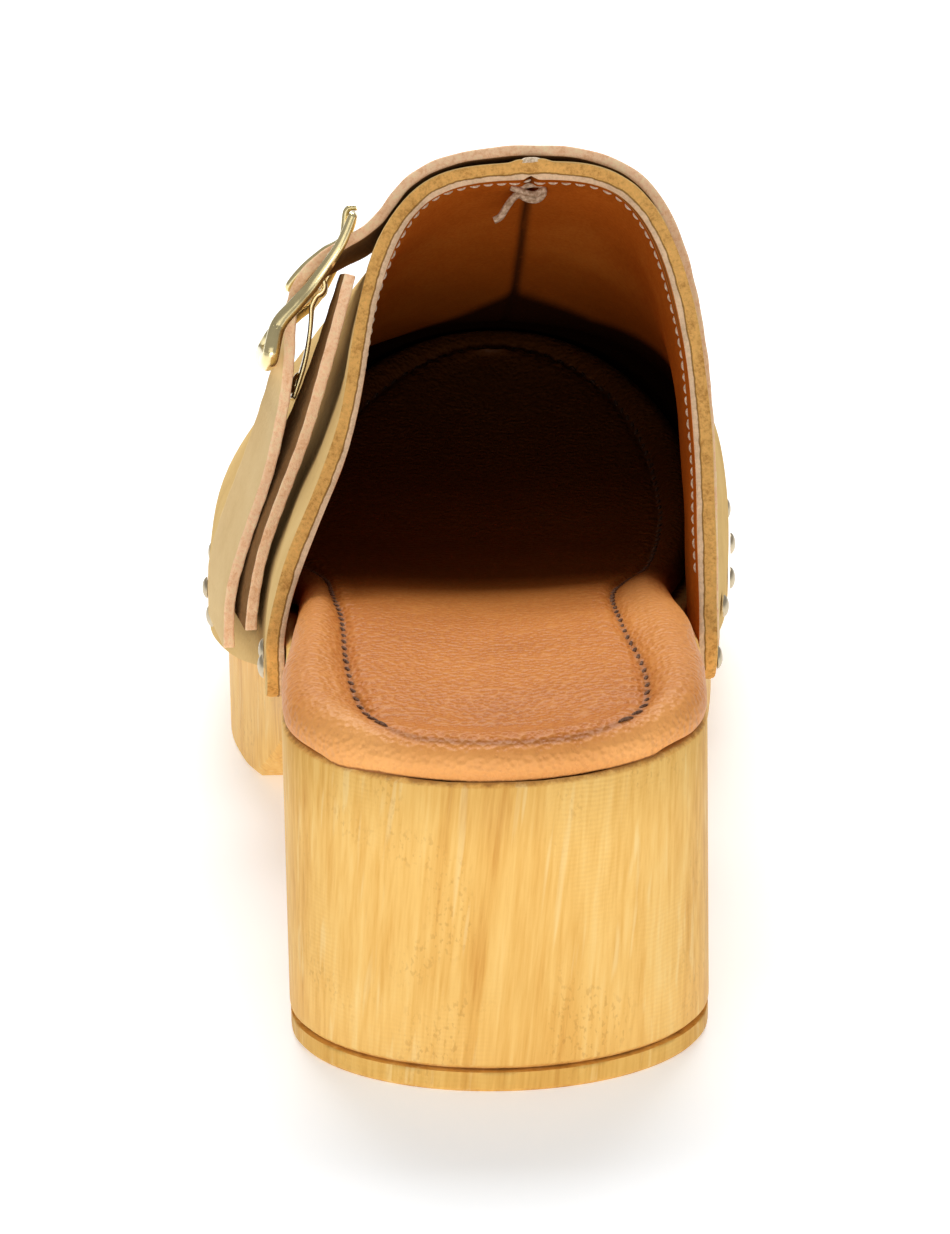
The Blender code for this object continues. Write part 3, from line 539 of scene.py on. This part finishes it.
def sew(name, places, ahead, up, length, thick, lean, sink):
    """Row of stitches with ends turned down. Each has its place, the row's way and the leather's."""
    rows, faces = [], []
    ends = np.abs(STITCH_SHAPE[:, 0] * 2) ** 2.2
    for number, (place, forward, outward) in enumerate(zip(places, ahead, up)):
        outward = outward / np.linalg.norm(outward)
        across = np.cross(outward, forward)
        across /= np.linalg.norm(across)
        forward = np.cross(across, outward)
        turn = lean + LEAN_WOBBLE * math.sin(number * 2.4)
        forward, across = (
            forward * math.cos(turn) + across * math.sin(turn),
            across * math.cos(turn) - forward * math.sin(turn),
        )
        uneven = length * (1 + LENGTH_WOBBLE * math.sin(number * 3.7))
        body = np.outer(STITCH_SHAPE[:, 0] * uneven, forward)
        body += np.outer(STITCH_SHAPE[:, 1] * thick, across)
        body += np.outer(STITCH_SHAPE[:, 2] * thick + thick * (0.3 - sink * ends), outward)
        faces += [tuple(index + len(rows) * len(body) for index in face) for face in STITCH_FACES]
        rows.append(body + place)
    return joined_mesh(name, np.concatenate(rows), faces)


def directions(path):
    """Unit steps along a path of points."""
    steps = np.gradient(path, axis=0)
    return steps / np.linalg.norm(steps, axis=1)[:, None]


def thread_finish(name, dark, light, ply):
    """Twisted thread: two tones in fine turns."""
    finish, tree, shader, place = new_finish(name)
    twist = noise(tree, place, ply, 2.0)
    tree.links.new(ramp(tree, twist, [(0.35, dark), (0.65, light)]), shader.inputs["Base Color"])
    set_gloss(shader, rough=0.7, specular=0.08)
    tree.links.new(bump(tree, twist, 0.5, 0.3 * MM), shader.inputs["Normal"])
    return finish


insole_skin = skin_of(insole)
DARK_THREAD = thread_finish("dark_waxed_thread", (0.085, 0.042, 0.025), (0.24, 0.13, 0.078), 2400.0)
for name, side, lean in (("lateral", sewn_sides[0], STITCH_LEAN), ("medial", sewn_sides[1], -STITCH_LEAN)):
    run = np.arange(len(side)) * ROW_STEP
    wanted = np.arange(FIRST_STITCH, run[-1] - 2 * MM, STITCH_PITCH)
    plan = np.stack([np.interp(wanted, run, side[:, axis]) for axis in (0, 1)], axis=1)
    hits = [insole_skin.ray_cast(Vector((x, y, ABOVE)), Vector((0.0, 0.0, -1.0))) for x, y in plan]
    places = np.array([hit[0] for hit in hits])
    ups = np.array([(hit[1] + Vector((0.0, 0.0, 2.0))).normalized() for hit in hits])
    stitches = sew(
        f"insole_stitches_{name}", places, directions(places), ups, INSOLE_STITCH, INSOLE_THREAD, lean, 0.32
    )
    stitches.data.materials.append(DARK_THREAD)
    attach(stitches, "root")


# Upper: two leather layers glued and sewn together, lasted over the wood and nailed round its edge.
# The outer layer is smooth tan leather, the lining is brown suede, and the collar is left raw. Shade is
# painted into their colour: round the strap on the outer leather, and on the lining deeper in, at the
# toe end and along a fold at the throat.
CREST_LINE = [
    (-7.7, 11.29), (8.3, 10.58), (24.3, 9.53), (40.3, 8.57), (56.3, 7.65), (72.3, 6.70), (104.3, 5.08),
]
INNER, RAW = 1, 2
TOE_TOP = 74.2 * MM
TOE_SLANTS = (1.05, 0.62)
TOE_FLOORS = (42.0 * MM, 65.5 * MM)
TOE_BLUR = 5.0 * MM
SEAM_WIDTH = 0.8 * MM
INNER_GROOVE, OUTER_GROOVE = 0.7 * MM, 0.55 * MM
SEAM_STARTS, SEAM_FADE = 45 * MM, 12 * MM
TOE_STARTS, TOE_FADE = -15 * MM, 30 * MM
DEEP_STARTS, DEEP_FADE = -4 * MM, 44 * MM
LEATHER_WAVE = 0.16 * MM
RAGGED_EDGE = 0.2 * MM
STRAP_SHADE_REACH = 3.6 * MM
RIM_REACH = 20 * MM
THROAT_WIDTH = 24 * MM
THROAT_LOWEST = 88 * MM
COLLAR_LOWEST = 53 * MM
COLLAR_FRONT = 3 * MM
COLLAR_HUB = (3 * MM, 50 * MM)


def split_faces(piece, fold_degrees):
    """Gives each face its slot: the larger sheet is the outer side, the next the inner, the rest raw edge."""
    work = bmesh.new()
    work.from_mesh(piece.data)
    seen = set()
    sheets = []
    for seed in work.faces:
        if seed in seen:
            continue
        seen.add(seed)
        sheet = [seed]
        for face in sheet:
            for edge in face.edges:
                if edge.calc_face_angle(math.pi) < math.radians(fold_degrees):
                    fresh = [other for other in edge.link_faces if other not in seen]
                    seen.update(fresh)
                    sheet += fresh
        sheets.append(sheet)
    sheets.sort(key=lambda sheet: -sum(face.calc_area() for face in sheet))
    depth = work.verts.layers.float.new("depth")
    for number, sheet in enumerate(sheets):
        for face in sheet:
            face.material_index = min(number, RAW)
            for corner in face.verts:
                if number < RAW:
                    corner[depth] = float(number)
    work.to_mesh(piece.data)
    work.free()


def leather_finish(name, stops, rough, grain, nap):
    """Leather with cloudy colour, fine grain and a nap or a polish."""
    finish, tree, shader, place = new_finish(name)
    clouds = noise(tree, place, 38.0, 5.0, 0.6)
    fine = noise(tree, place, grain, 3.0, 0.6)
    mixed = plus(tree, times(tree, clouds, 1.0 - nap), times(tree, fine, nap))
    tree.links.new(ramp(tree, mixed, stops), shader.inputs["Base Color"])
    tree.links.new(plus(tree, times(tree, fine, 0.2), rough - 0.1), shader.inputs["Roughness"])
    shader.inputs["Specular IOR Level"].default_value = 0.0
    relief = bump(tree, pebbles(tree, place, grain * 0.8), 0.18, 0.3 * MM)
    tree.links.new(bump(tree, fine, 0.2 + 0.5 * nap, 0.4 * MM, relief), shader.inputs["Normal"])
    return finish, tree, shader, place


def near(tree, value, centre, width):
    """1 where the value lies within a width of the centre, and 0 elsewhere."""
    return add_node(tree, "Math", {0: value, 1: centre, 2: width}, operation="COMPARE").outputs["Value"]


def raw_edge_finish(name, fibre, deep, pale, seam_at):
    """Cut leather edge: loose fibres in the outer layer, a dark glue line, and the lining's paler edge."""
    finish, tree, shader, place = new_finish(name)
    fibres = noise(tree, place, 1500.0, 4.0, 0.7)
    tufts = noise(tree, place, 330.0, 3.0)
    wavy = plus(tree, marked(tree, "depth"), times(tree, maths(tree, "SUBTRACT", tufts, 0.5), 0.22))
    mixed = plus(tree, times(tree, fibres, 0.6), times(tree, tufts, 0.4))
    colour = ramp(tree, mixed, [(0.36, deep), (0.5, fibre), (0.66, [min(1.0, c * 1.2) for c in fibre])])
    edge = ramp(tree, mixed, [(0.36, [c * 0.72 for c in pale]), (0.6, pale)])
    colour = blend_colour(tree, fade(tree, wavy, seam_at, seam_at + 0.06), colour, edge)
    line = near(tree, wavy, seam_at, 0.045)
    colour = tint(tree, colour, line, 0.7, [c * 0.3 for c in deep])
    tree.links.new(colour, shader.inputs["Base Color"])
    set_gloss(shader, rough=0.85, specular=0.03)
    relief = bump(tree, maths(tree, "SUBTRACT", fibres, line), 0.55, 0.5 * MM)
    tree.links.new(relief, shader.inputs["Normal"])
    return finish


upper = dress("upper", "leather_upper")
split_faces(upper, fold_degrees=62)
low_form = upper.data.copy()
refine(upper, levels=2, sharp_degrees=50, crease=0.75)
points = points_of(upper)
normals = normals_of(upper)
crest = np.interp(points[:, 1], [y * MM for y, x in CREST_LINE], [x * MM for y, x in CREST_LINE])
seam = hump(points[:, 0] - crest, SEAM_WIDTH) * share_of(points[:, 2], SEAM_STARTS, SEAM_FADE)
depth = np.empty(len(points), np.float32)
upper.data.attributes["depth"].data.foreach_get("value", depth)
outer_side, inner_side = depth < 0.02, depth > 0.98
points[:, 2] += seam * (inner_side * INNER_GROOVE - outer_side * OUTER_GROOVE)
waves = np.sin(points[:, 0] * 190 + points[:, 2] * 260) * np.sin(points[:, 2] * 170 + 1.0)
points += normals * (waves * LEATHER_WAVE)[:, None]
ragged = np.sin(points[:, 0] * 2100 + points[:, 2] * 1700) * np.sin(points[:, 1] * 1900 + points[:, 2] * 900)
points += normals * (ragged * ~(outer_side | inner_side) * RAGGED_EDGE)[:, None]
set_points(upper, points)
mark(upper, "seam", seam)
beside = points[:, 0] - crest
# Painted shade: the lining goes near-black beyond a slanting line at the toe end, where light does not reach.
toe_line = np.where(
    beside < 0,
    np.maximum(TOE_TOP + TOE_SLANTS[0] * beside, TOE_FLOORS[0]),
    np.maximum(TOE_TOP - TOE_SLANTS[1] * beside, TOE_FLOORS[1]),
)
below_line = np.clip((toe_line - points[:, 2]) / TOE_BLUR + 0.5, 0.0, 1.0)
mark(upper, "toe_shade", below_line * share_of(points[:, 1], TOE_STARTS, TOE_FADE))
# Painted shade: the outer leather darkens within a few millimetres of the strap and the chape strip.
strap_shade = np.zeros(len(points))
for node in ("strap", "chape_strip"):
    skin = skin_of(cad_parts[node])
    gap = np.array([skin.find_nearest(Vector(point))[3] for point in points])
    strap_shade = np.maximum(strap_shade, hump(gap, STRAP_SHADE_REACH))
mark(upper, "strap_shade", strap_shade)
# Painted shade: the lining darkens towards the toe, deeper inside the shoe.
mark(upper, "deep", share_of(points[:, 1], DEEP_STARTS, DEEP_FADE))


def collar_edge():
    """Points of the collar's edge on the lining side, from the lateral foot over to the medial."""
    work = bmesh.new()
    work.from_mesh(low_form)
    found = {}
    for edge in work.edges:
        slots = sorted(face.material_index for face in edge.link_faces)
        if slots == [INNER, RAW]:
            for corner in edge.verts:
                if corner.co.z > COLLAR_LOWEST and corner.co.y < COLLAR_FRONT:
                    found[corner.index] = np.array(corner.co)
    work.free()
    hub_x, hub_z = COLLAR_HUB
    return sorted(found.values(), key=lambda point: math.atan2(point[2] - hub_z, hub_x - point[0]))


rim = smooth_path(collar_edge(), 1.0 * MM)
from_rim = np.concatenate([
    np.linalg.norm(points[start:start + BATCH, None, :] - rim[None, :, :], axis=2).min(axis=1)
    for start in range(0, len(points), BATCH)
])
mark(upper, "from_rim", share_of(from_rim, 0.0, RIM_REACH))
mark(upper, "throat", np.exp(-((points[:, 0] - crest) / THROAT_WIDTH) ** 4) * (points[:, 2] > THROAT_LOWEST))

TAN = [(0.34, (0.70, 0.455, 0.180)), (0.5, (0.79, 0.535, 0.222)), (0.68, (0.85, 0.60, 0.27))]
finish, tree, shader, place = leather_finish("tan_vamp_leather", TAN, rough=0.62, grain=1300.0, nap=0.2)
colour = shader.inputs["Base Color"].links[0].from_socket
colour = tint(tree, colour, marked(tree, "seam"), 0.8, (0.09, 0.035, 0.012))
# Painted shade round the strap and the chape strip.
colour = tint(tree, colour, marked(tree, "strap_shade"), 0.85, (0.13, 0.062, 0.022))
tree.links.new(colour, shader.inputs["Base Color"])
upper.data.materials.append(finish)

SUEDE = [(0.34, (0.44, 0.098, 0.009)), (0.5, (0.56, 0.132, 0.013)), (0.68, (0.66, 0.19, 0.024))]
DEEP_SHADE_BROWN = (0.19, 0.040, 0.003)
TOE_SHADE_BROWN = (0.035, 0.010, 0.003)
HEM_TAN = (0.62, 0.30, 0.085)
FOLD_SHADE_BROWN = (0.10, 0.028, 0.006)
SEAM_BROWN = (0.03, 0.010, 0.004)
HEM, FOLD = 0.15, 0.085
finish, tree, shader, place = leather_finish("brown_suede_lining", SUEDE, rough=0.85, grain=1700.0, nap=0.35)
rim_way = plus(tree, marked(tree, "from_rim"), times(tree, noise(tree, place, 300.0), 0.02))
hem = times(tree, fade(tree, rim_way, HEM + 0.01, HEM - 0.01), marked(tree, "throat"))
# Painted shade: a dark line along a fold of the lining just inside the rim at the throat.
fold = times(tree, near(tree, rim_way, FOLD, 0.018), marked(tree, "throat"))
colour = shader.inputs["Base Color"].links[0].from_socket
# Painted shade deeper inside the shoe.
colour = tint(tree, colour, marked(tree, "deep"), 0.62, DEEP_SHADE_BROWN)
# Painted shade at the toe end of the lining.
colour = blend_colour(tree, fade(tree, marked(tree, "toe_shade"), 0.0, 1.0), colour, TOE_SHADE_BROWN)
colour = tint(tree, colour, hem, 0.75, HEM_TAN)
# Painted shade along the fold.
colour = tint(tree, colour, fold, 0.85, FOLD_SHADE_BROWN)
colour = tint(tree, colour, marked(tree, "seam"), 0.9, SEAM_BROWN)
tree.links.new(colour, shader.inputs["Base Color"])
upper.data.materials.append(finish)
COLLAR_FIBRE, COLLAR_DEEP, COLLAR_PALE = (0.76, 0.41, 0.118), (0.50, 0.235, 0.058), (0.88, 0.60, 0.37)
upper.data.materials.append(raw_edge_finish("raw_collar_edge", COLLAR_FIBRE, COLLAR_DEEP, COLLAR_PALE, 0.67))
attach(upper, "root")
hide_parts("upper")


# Collar stitches: fine cream thread that holds the lining, a few millimetres inside the raw edge. Each
# stitch is drawn into the suede, so the row shows as short dashes.
COLLAR_PITCH = 2.1 * MM
COLLAR_STITCH = 1.8 * MM
COLLAR_THREAD = 0.44 * MM
COLLAR_INSET = 4.0 * MM
THROAT_INSET = 1.3 * MM
THROAT_X = 11.3 * MM
THROAT_SPREAD = 9 * MM
INTO_LINING = np.array([0.0, 1.2 * MM, 0.0])
upper_skin = skin_of(upper)
CREAM_THREAD = thread_finish("cream_thread", (0.55, 0.40, 0.25), (0.86, 0.72, 0.54), 2600.0)
edge = smooth_path(collar_edge(), COLLAR_PITCH)
places, ups = [], []
for point, forward in zip(edge, directions(edge)):
    hit = upper_skin.find_nearest(Vector(point + INTO_LINING))
    inward = np.cross(np.array(hit[1]), forward)
    inward *= 1.0 if inward[1] > 0 else -1.0
    inset = COLLAR_INSET + THROAT_INSET * hump(point[0] - THROAT_X, THROAT_SPREAD)
    spot = upper_skin.find_nearest(Vector(point + inward / np.linalg.norm(inward) * inset))
    places.append(np.array(spot[0]))
    ups.append(np.array(spot[1]))
places = np.array(places)
stitches = sew("collar_stitches", places, directions(places), ups, COLLAR_STITCH, COLLAR_THREAD, 0.0, 0.5)
stitches.data.materials.append(CREAM_THREAD)
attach(stitches, "root")


# Throat tie: the centre seam is closed at the throat with a thread bar over its top and a small knot
# below it on the lining, its cut end hanging free.
def round_thread(name, points, radius, closed=False, sides=3):
    """Round bar or thread along points, as a mesh. A point may carry its own share of the radius."""
    curve = bpy.data.curves.new(name, "CURVE")
    curve.dimensions = "3D"
    curve.bevel_depth = radius
    curve.bevel_resolution = sides
    curve.use_fill_caps = True
    line = curve.splines.new("POLY")
    line.points.add(len(points) - 1)
    for spot, point in zip(line.points, points):
        spot.co = (*point[:3], 1.0)
        spot.radius = point[3] if len(point) > 3 else 1.0
    line.use_cyclic_u = closed
    piece = bpy.data.objects.new(name, curve)
    bpy.context.scene.collection.objects.link(piece)
    select_only(piece)
    bpy.ops.object.convert(target="MESH")
    piece = bpy.context.active_object
    bpy.ops.object.shade_smooth()
    return piece


def join(pieces, name):
    """One piece from several."""
    select_only(pieces[0])
    for piece in pieces:
        piece.select_set(True)
    bpy.ops.object.join()
    pieces[0].name = name
    return pieces[0]


def path_from(origin, rows, step):
    """Smooth path through rows of millimetres counted from a place."""
    return smooth_path([tuple(origin + np.array(row) * MM) for row in rows], step)


KNOT = [
    (-2.6, 0.0, -0.6), (-1.2, -0.5, -1.9), (0.8, -0.6, -2.3),
    (2.0, -0.4, -1.2), (1.4, -0.2, 0.2), (-0.6, -0.4, 0.3),
]
TAIL = [(-1.6, -0.7, -0.9), (-3.0, -1.1, -1.7), (-4.2, -1.6, -3.2), (-5.2, -1.9, -4.7), (-6.3, -2.0, -5.3)]
CROSS = [(2.2, -0.6, -0.4), (0.4, -1.0, -1.2), (-1.8, -1.0, -0.6), (-3.4, -0.8, 0.0)]
BAR = [(-2.0, -0.4, -0.7), (-1.2, -0.5, 0.25), (0.0, -0.5, 0.4), (1.2, -0.5, 0.25), (2.0, -0.4, -0.7)]
TIE_STEP, BAR_STEP = 0.35 * MM, 0.4 * MM
under_throat = Vector((THROAT_X, 2.2 * MM, 80 * MM))
over_throat = Vector((THROAT_X, -3.8 * MM, 130 * MM))
throat = np.array(upper_skin.ray_cast(under_throat, Vector((0.0, 0.0, 1.0)))[0])
top = np.array(upper_skin.ray_cast(over_throat, Vector((0.0, 0.0, -1.0)))[0])
tie = [
    round_thread("loop", path_from(throat, KNOT + KNOT[:1], TIE_STEP), 0.6 * MM, closed=True),
    round_thread("tail", path_from(throat, TAIL, TIE_STEP), 0.62 * MM),
    round_thread("cross", path_from(throat, CROSS, TIE_STEP), 0.55 * MM),
]
tie = join(tie, "throat_knot")
tie.data.materials.append(thread_finish("worn_thread", (0.34, 0.21, 0.12), (0.66, 0.49, 0.34), 1900.0))
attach(tie, "root")
bar = round_thread("throat_bar", path_from(top, BAR, BAR_STEP), 0.5 * MM)
bar.data.materials.append(CREAM_THREAD)
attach(bar, "root")


# Strap: one band of tan leather with raw peach-coloured edges. It lies on the upper from the medial edge
# to the crest, then hangs free through the buckle and down to the sole on the lateral side.
STRAP_FACE = [(0.34, (0.74, 0.505, 0.24)), (0.5, (0.82, 0.585, 0.295)), (0.68, (0.88, 0.65, 0.345))]
# The flesh side's brown is partly its own tone and partly painted shade, as it faces the upper in shadow.
FLESH_IN_SHADE = [(0.34, (0.20, 0.10, 0.040)), (0.5, (0.27, 0.14, 0.056)), (0.68, (0.33, 0.18, 0.076))]
PEACH, DEEP_PEACH = (1.0, 0.65, 0.40), (0.86, 0.48, 0.255)
NO_SEAM = 2.0
BAND_UNEVEN = 0.07 * MM
strap_face = leather_finish("tan_strap_leather", STRAP_FACE, rough=0.6, grain=1200.0, nap=0.15)[0]
shaded_flesh_side = leather_finish("strap_flesh_side_in_shade", FLESH_IN_SHADE, rough=0.85, grain=1500.0, nap=0.4)[0]
strap_edge = raw_edge_finish("raw_strap_edge", PEACH, DEEP_PEACH, PEACH, NO_SEAM)


def leather_band(node, name, face):
    """Strip of leather with a face, a flesh side and raw edges."""
    band = dress(node, name)
    split_faces(band, fold_degrees=55)
    refine(band, levels=3, sharp_degrees=50, crease=0.7)
    for finish in (face, shaded_flesh_side, strap_edge):
        band.data.materials.append(finish)
    spots = points_of(band)
    uneven = np.sin(spots[:, 2] * 900 + spots[:, 1] * 300) * np.sin(spots[:, 0] * 700 + spots[:, 2] * 410)
    set_points(band, spots + normals_of(band) * (uneven * BAND_UNEVEN)[:, None])
    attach(band, "root")
    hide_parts(node)
    return band


strap = leather_band("strap", "instep_strap", strap_face)


# Chape strip: a shorter band of the same leather under the strap's tail, flesh side out, with its foot
# against the upper. Its dark flesh-side brown is partly its own tone and partly painted shade under the
# strap. It carries the buckle's hook plate.
leather_band("chape_strip", "chape_strip_band", shaded_flesh_side)


# Buckle: a frame of round polished gold-coloured metal, bent in a long S to follow the instep. Its centre
# bar carries the prong, which lies over the strap's face and rests on the top bar.
FRAME_REAR = [
    (-18.2, -12.9, 105.0, 0.58), (-20.5, -14.6, 100.3, 0.72), (-24.8, -16.2, 94.6, 0.88),
    (-27.7, -17.9, 91.7, 0.96), (-30.7, -19.5, 88.5, 1.06), (-32.3, -21.1, 83.0, 1.12),
]
FRAME_FRONT = [
    (-18.6, 11.9, 97.0, 0.58), (-20.9, 10.2, 91.6, 0.72), (-25.1, 8.6, 84.4, 0.88),
    (-28.5, 6.9, 81.8, 0.96), (-32.1, 5.3, 79.2, 1.04), (-34.1, 3.7, 76.0, 1.08),
]
CENTRE_BAR = [(-24.8, -16.2, 94.6, 1.0), (-25.1, 8.6, 84.4, 1.0)]
PRONG_ROOT = [(-24.9, -3.4, 89.6, 0.9), (-26.6, -3.3, 90.6, 1.0)]
PRONG_ON_STRAP = [(-30.5, -3.2, 90.5), (-29.0, -3.0, 95.0), (-25.2, -2.7, 98.5), (-21.8, -2.3, 100.5)]
PRONG_TIP = [(-19.4, -1.8, 102.5, 0.85), (-17.7, -1.7, 103.0, 0.7)]
FRAME_RADIUS = 1.25 * MM
CENTRE_RADIUS = 1.0 * MM
PRONG_RADIUS = 0.65 * MM
MARKS_RUN = (1.0, 0.3, 1.0)


def metal_finish(name, tone, rough):
    """Polished plated metal with faint handling marks."""
    finish, tree, shader, place = new_finish(name)
    marks = noise(tree, stretch(tree, place, MARKS_RUN), 900.0, 4.0, 0.6)
    tones = [(0.35, [c * 0.86 for c in tone]), (0.65, tone)]
    tree.links.new(ramp(tree, noise(tree, place, 160.0), tones), shader.inputs["Base Color"])
    shader.inputs["Metallic"].default_value = 1.0
    tree.links.new(plus(tree, times(tree, marks, 0.14), rough - 0.07), shader.inputs["Roughness"])
    tree.links.new(bump(tree, marks, 0.05, 0.2 * MM), shader.inputs["Normal"])
    return finish


GOLD = metal_finish("polished_gold", (1.0, 0.83, 0.44), rough=0.24)
loop = FRAME_REAR + FRAME_FRONT[::-1]
loop = smooth_path(in_metres(loop + loop[:1]), 0.6 * MM)[:-1]
frame_bar = round_thread("bar", loop, FRAME_RADIUS, closed=True, sides=5)
centre = round_thread("centre", in_metres(CENTRE_BAR), CENTRE_RADIUS, sides=5)
strap_skin = skin_of(strap)
hugging = []
for guess in PRONG_ON_STRAP:
    spot = strap_skin.find_nearest(Vector(guess) * MM)
    hugging.append((*(spot[0] + spot[1] * PRONG_RADIUS), 1.0))
prong = in_metres(PRONG_ROOT) + hugging + in_metres(PRONG_TIP)
prong = round_thread("prong", smooth_path(prong, 0.5 * MM), PRONG_RADIUS, sides=5)
buckle = join([frame_bar, centre, prong], "buckle_frame_and_prong")
buckle.data.materials.append(GOLD)
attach(buckle, "root")
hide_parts("buckle_frame")


# Hook plate: thin gold-coloured metal with its top curled round the centre bar. One flat-domed rivet
# holds it to the chape strip.
RIVET_PLACE = Vector((-28.5, -9.7, 75.3)) * MM
RIVET_AXIS = Vector((-0.94, 0.0, 0.34))
RIVET_RADIUS = 1.9 * MM
RIVET_FLATNESS = 0.34
hook = dress("hook_plate", "hook_plate_curl")
refine(hook, levels=2, sharp_degrees=50, crease=0.8)
hook.data.materials.append(GOLD)
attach(hook, "root")
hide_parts("hook_plate")
bpy.ops.object.select_all(action="DESELECT")
bpy.ops.mesh.primitive_uv_sphere_add(
    segments=24,
    ring_count=12,
    radius=RIVET_RADIUS,
    location=RIVET_PLACE,
    rotation=RIVET_AXIS.to_track_quat("Z", "Y").to_euler(),
)
rivet = bpy.context.active_object
rivet.name = "hook_rivet"
rivet.scale = (1.0, 1.0, RIVET_FLATNESS)
bpy.ops.object.transform_apply(location=True, rotation=True, scale=True)
bpy.ops.object.shade_smooth()
rivet.data.materials.append(GOLD)
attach(rivet, "root")


# Nails: pale domed heads of plated metal, driven through the upper's lower edge into the wood. They
# stand in a row all round the sole.
NAIL_METAL = metal_finish("pale_nail_metal", (0.62, 0.52, 0.36), rough=0.42)
for node in sorted(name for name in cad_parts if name.startswith("nail_")):
    nail = dress(node, f"{node}_head")
    refine(nail, levels=2, sharp_degrees=50, crease=0.6)
    nail.data.materials.append(NAIL_METAL)
    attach(nail, "root")
    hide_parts(node)


# Floor, lights and camera: a white sweep, a softbox over the toe, and a long low lamp and a high card
# behind the camera, which looks down on the heel from behind.
CAMERA_PLACE = Vector((0.00246, -1.02103, 0.4168))
CAMERA_AIM = Vector((0.00072, -0.045, 0.04664))
CAMERA_ROLL = math.radians(-1.05)
ROOM_LIGHT = 0.33
bpy.ops.object.select_all(action="DESELECT")
bpy.ops.mesh.primitive_plane_add(size=8.0, location=(0.0, 0.0, 0.0))
floor = bpy.context.active_object
floor.name = "studio_floor"
finish, tree, shader, place = new_finish("white_sweep")
shader.inputs["Base Color"].default_value = (0.86, 0.89, 0.92, 1.0)
shader.inputs["Roughness"].default_value = 0.9
shader.inputs["Emission Color"].default_value = (0.97, 0.985, 1.0, 1.0)
shader.inputs["Emission Strength"].default_value = 0.38
floor.data.materials.append(finish)


def soft_light(name, place, aim, size, watts):
    lamp = bpy.data.lights.new(name, "AREA")
    lamp.shape = "RECTANGLE"
    lamp.size, lamp.size_y = size
    lamp.energy = watts
    stand = bpy.data.objects.new(name, lamp)
    stand.location = place
    stand.rotation_euler = (Vector(aim) - Vector(place)).to_track_quat("-Z", "Y").to_euler()
    bpy.context.scene.collection.objects.link(stand)


soft_light("toe_softbox", (0.0, 0.70, 1.05), (0.0, 0.0, 0.03), (0.8, 0.6), 14.0)
soft_light("low_heel_lamp", (0.0, -1.5, 0.14), (0.0, 0.0, 0.06), (0.9, 0.3), 6.4)
soft_light("high_heel_card", (-0.25, -1.25, 0.75), (0.0, 0.0, 0.06), (1.4, 0.5), 1.7)
world = bpy.data.worlds.new("white_room")
world.use_nodes = True
world.node_tree.nodes["Background"].inputs["Color"].default_value = (1.0, 1.0, 1.0, 1.0)
world.node_tree.nodes["Background"].inputs["Strength"].default_value = ROOM_LIGHT
bpy.context.scene.world = world
bpy.context.scene.view_settings.view_transform = "Standard"

lens = bpy.data.cameras.new("photo_camera")
lens.lens = 187.6
lens.sensor_width = 36.0
camera = bpy.data.objects.new("photo_camera", lens)
camera.location = CAMERA_PLACE
looking = (CAMERA_AIM - CAMERA_PLACE).to_track_quat("-Z", "Y")
camera.rotation_euler = (looking @ Quaternion((0.0, 0.0, 1.0), CAMERA_ROLL)).to_euler()
bpy.context.scene.collection.objects.link(camera)
bpy.context.scene.camera = camera
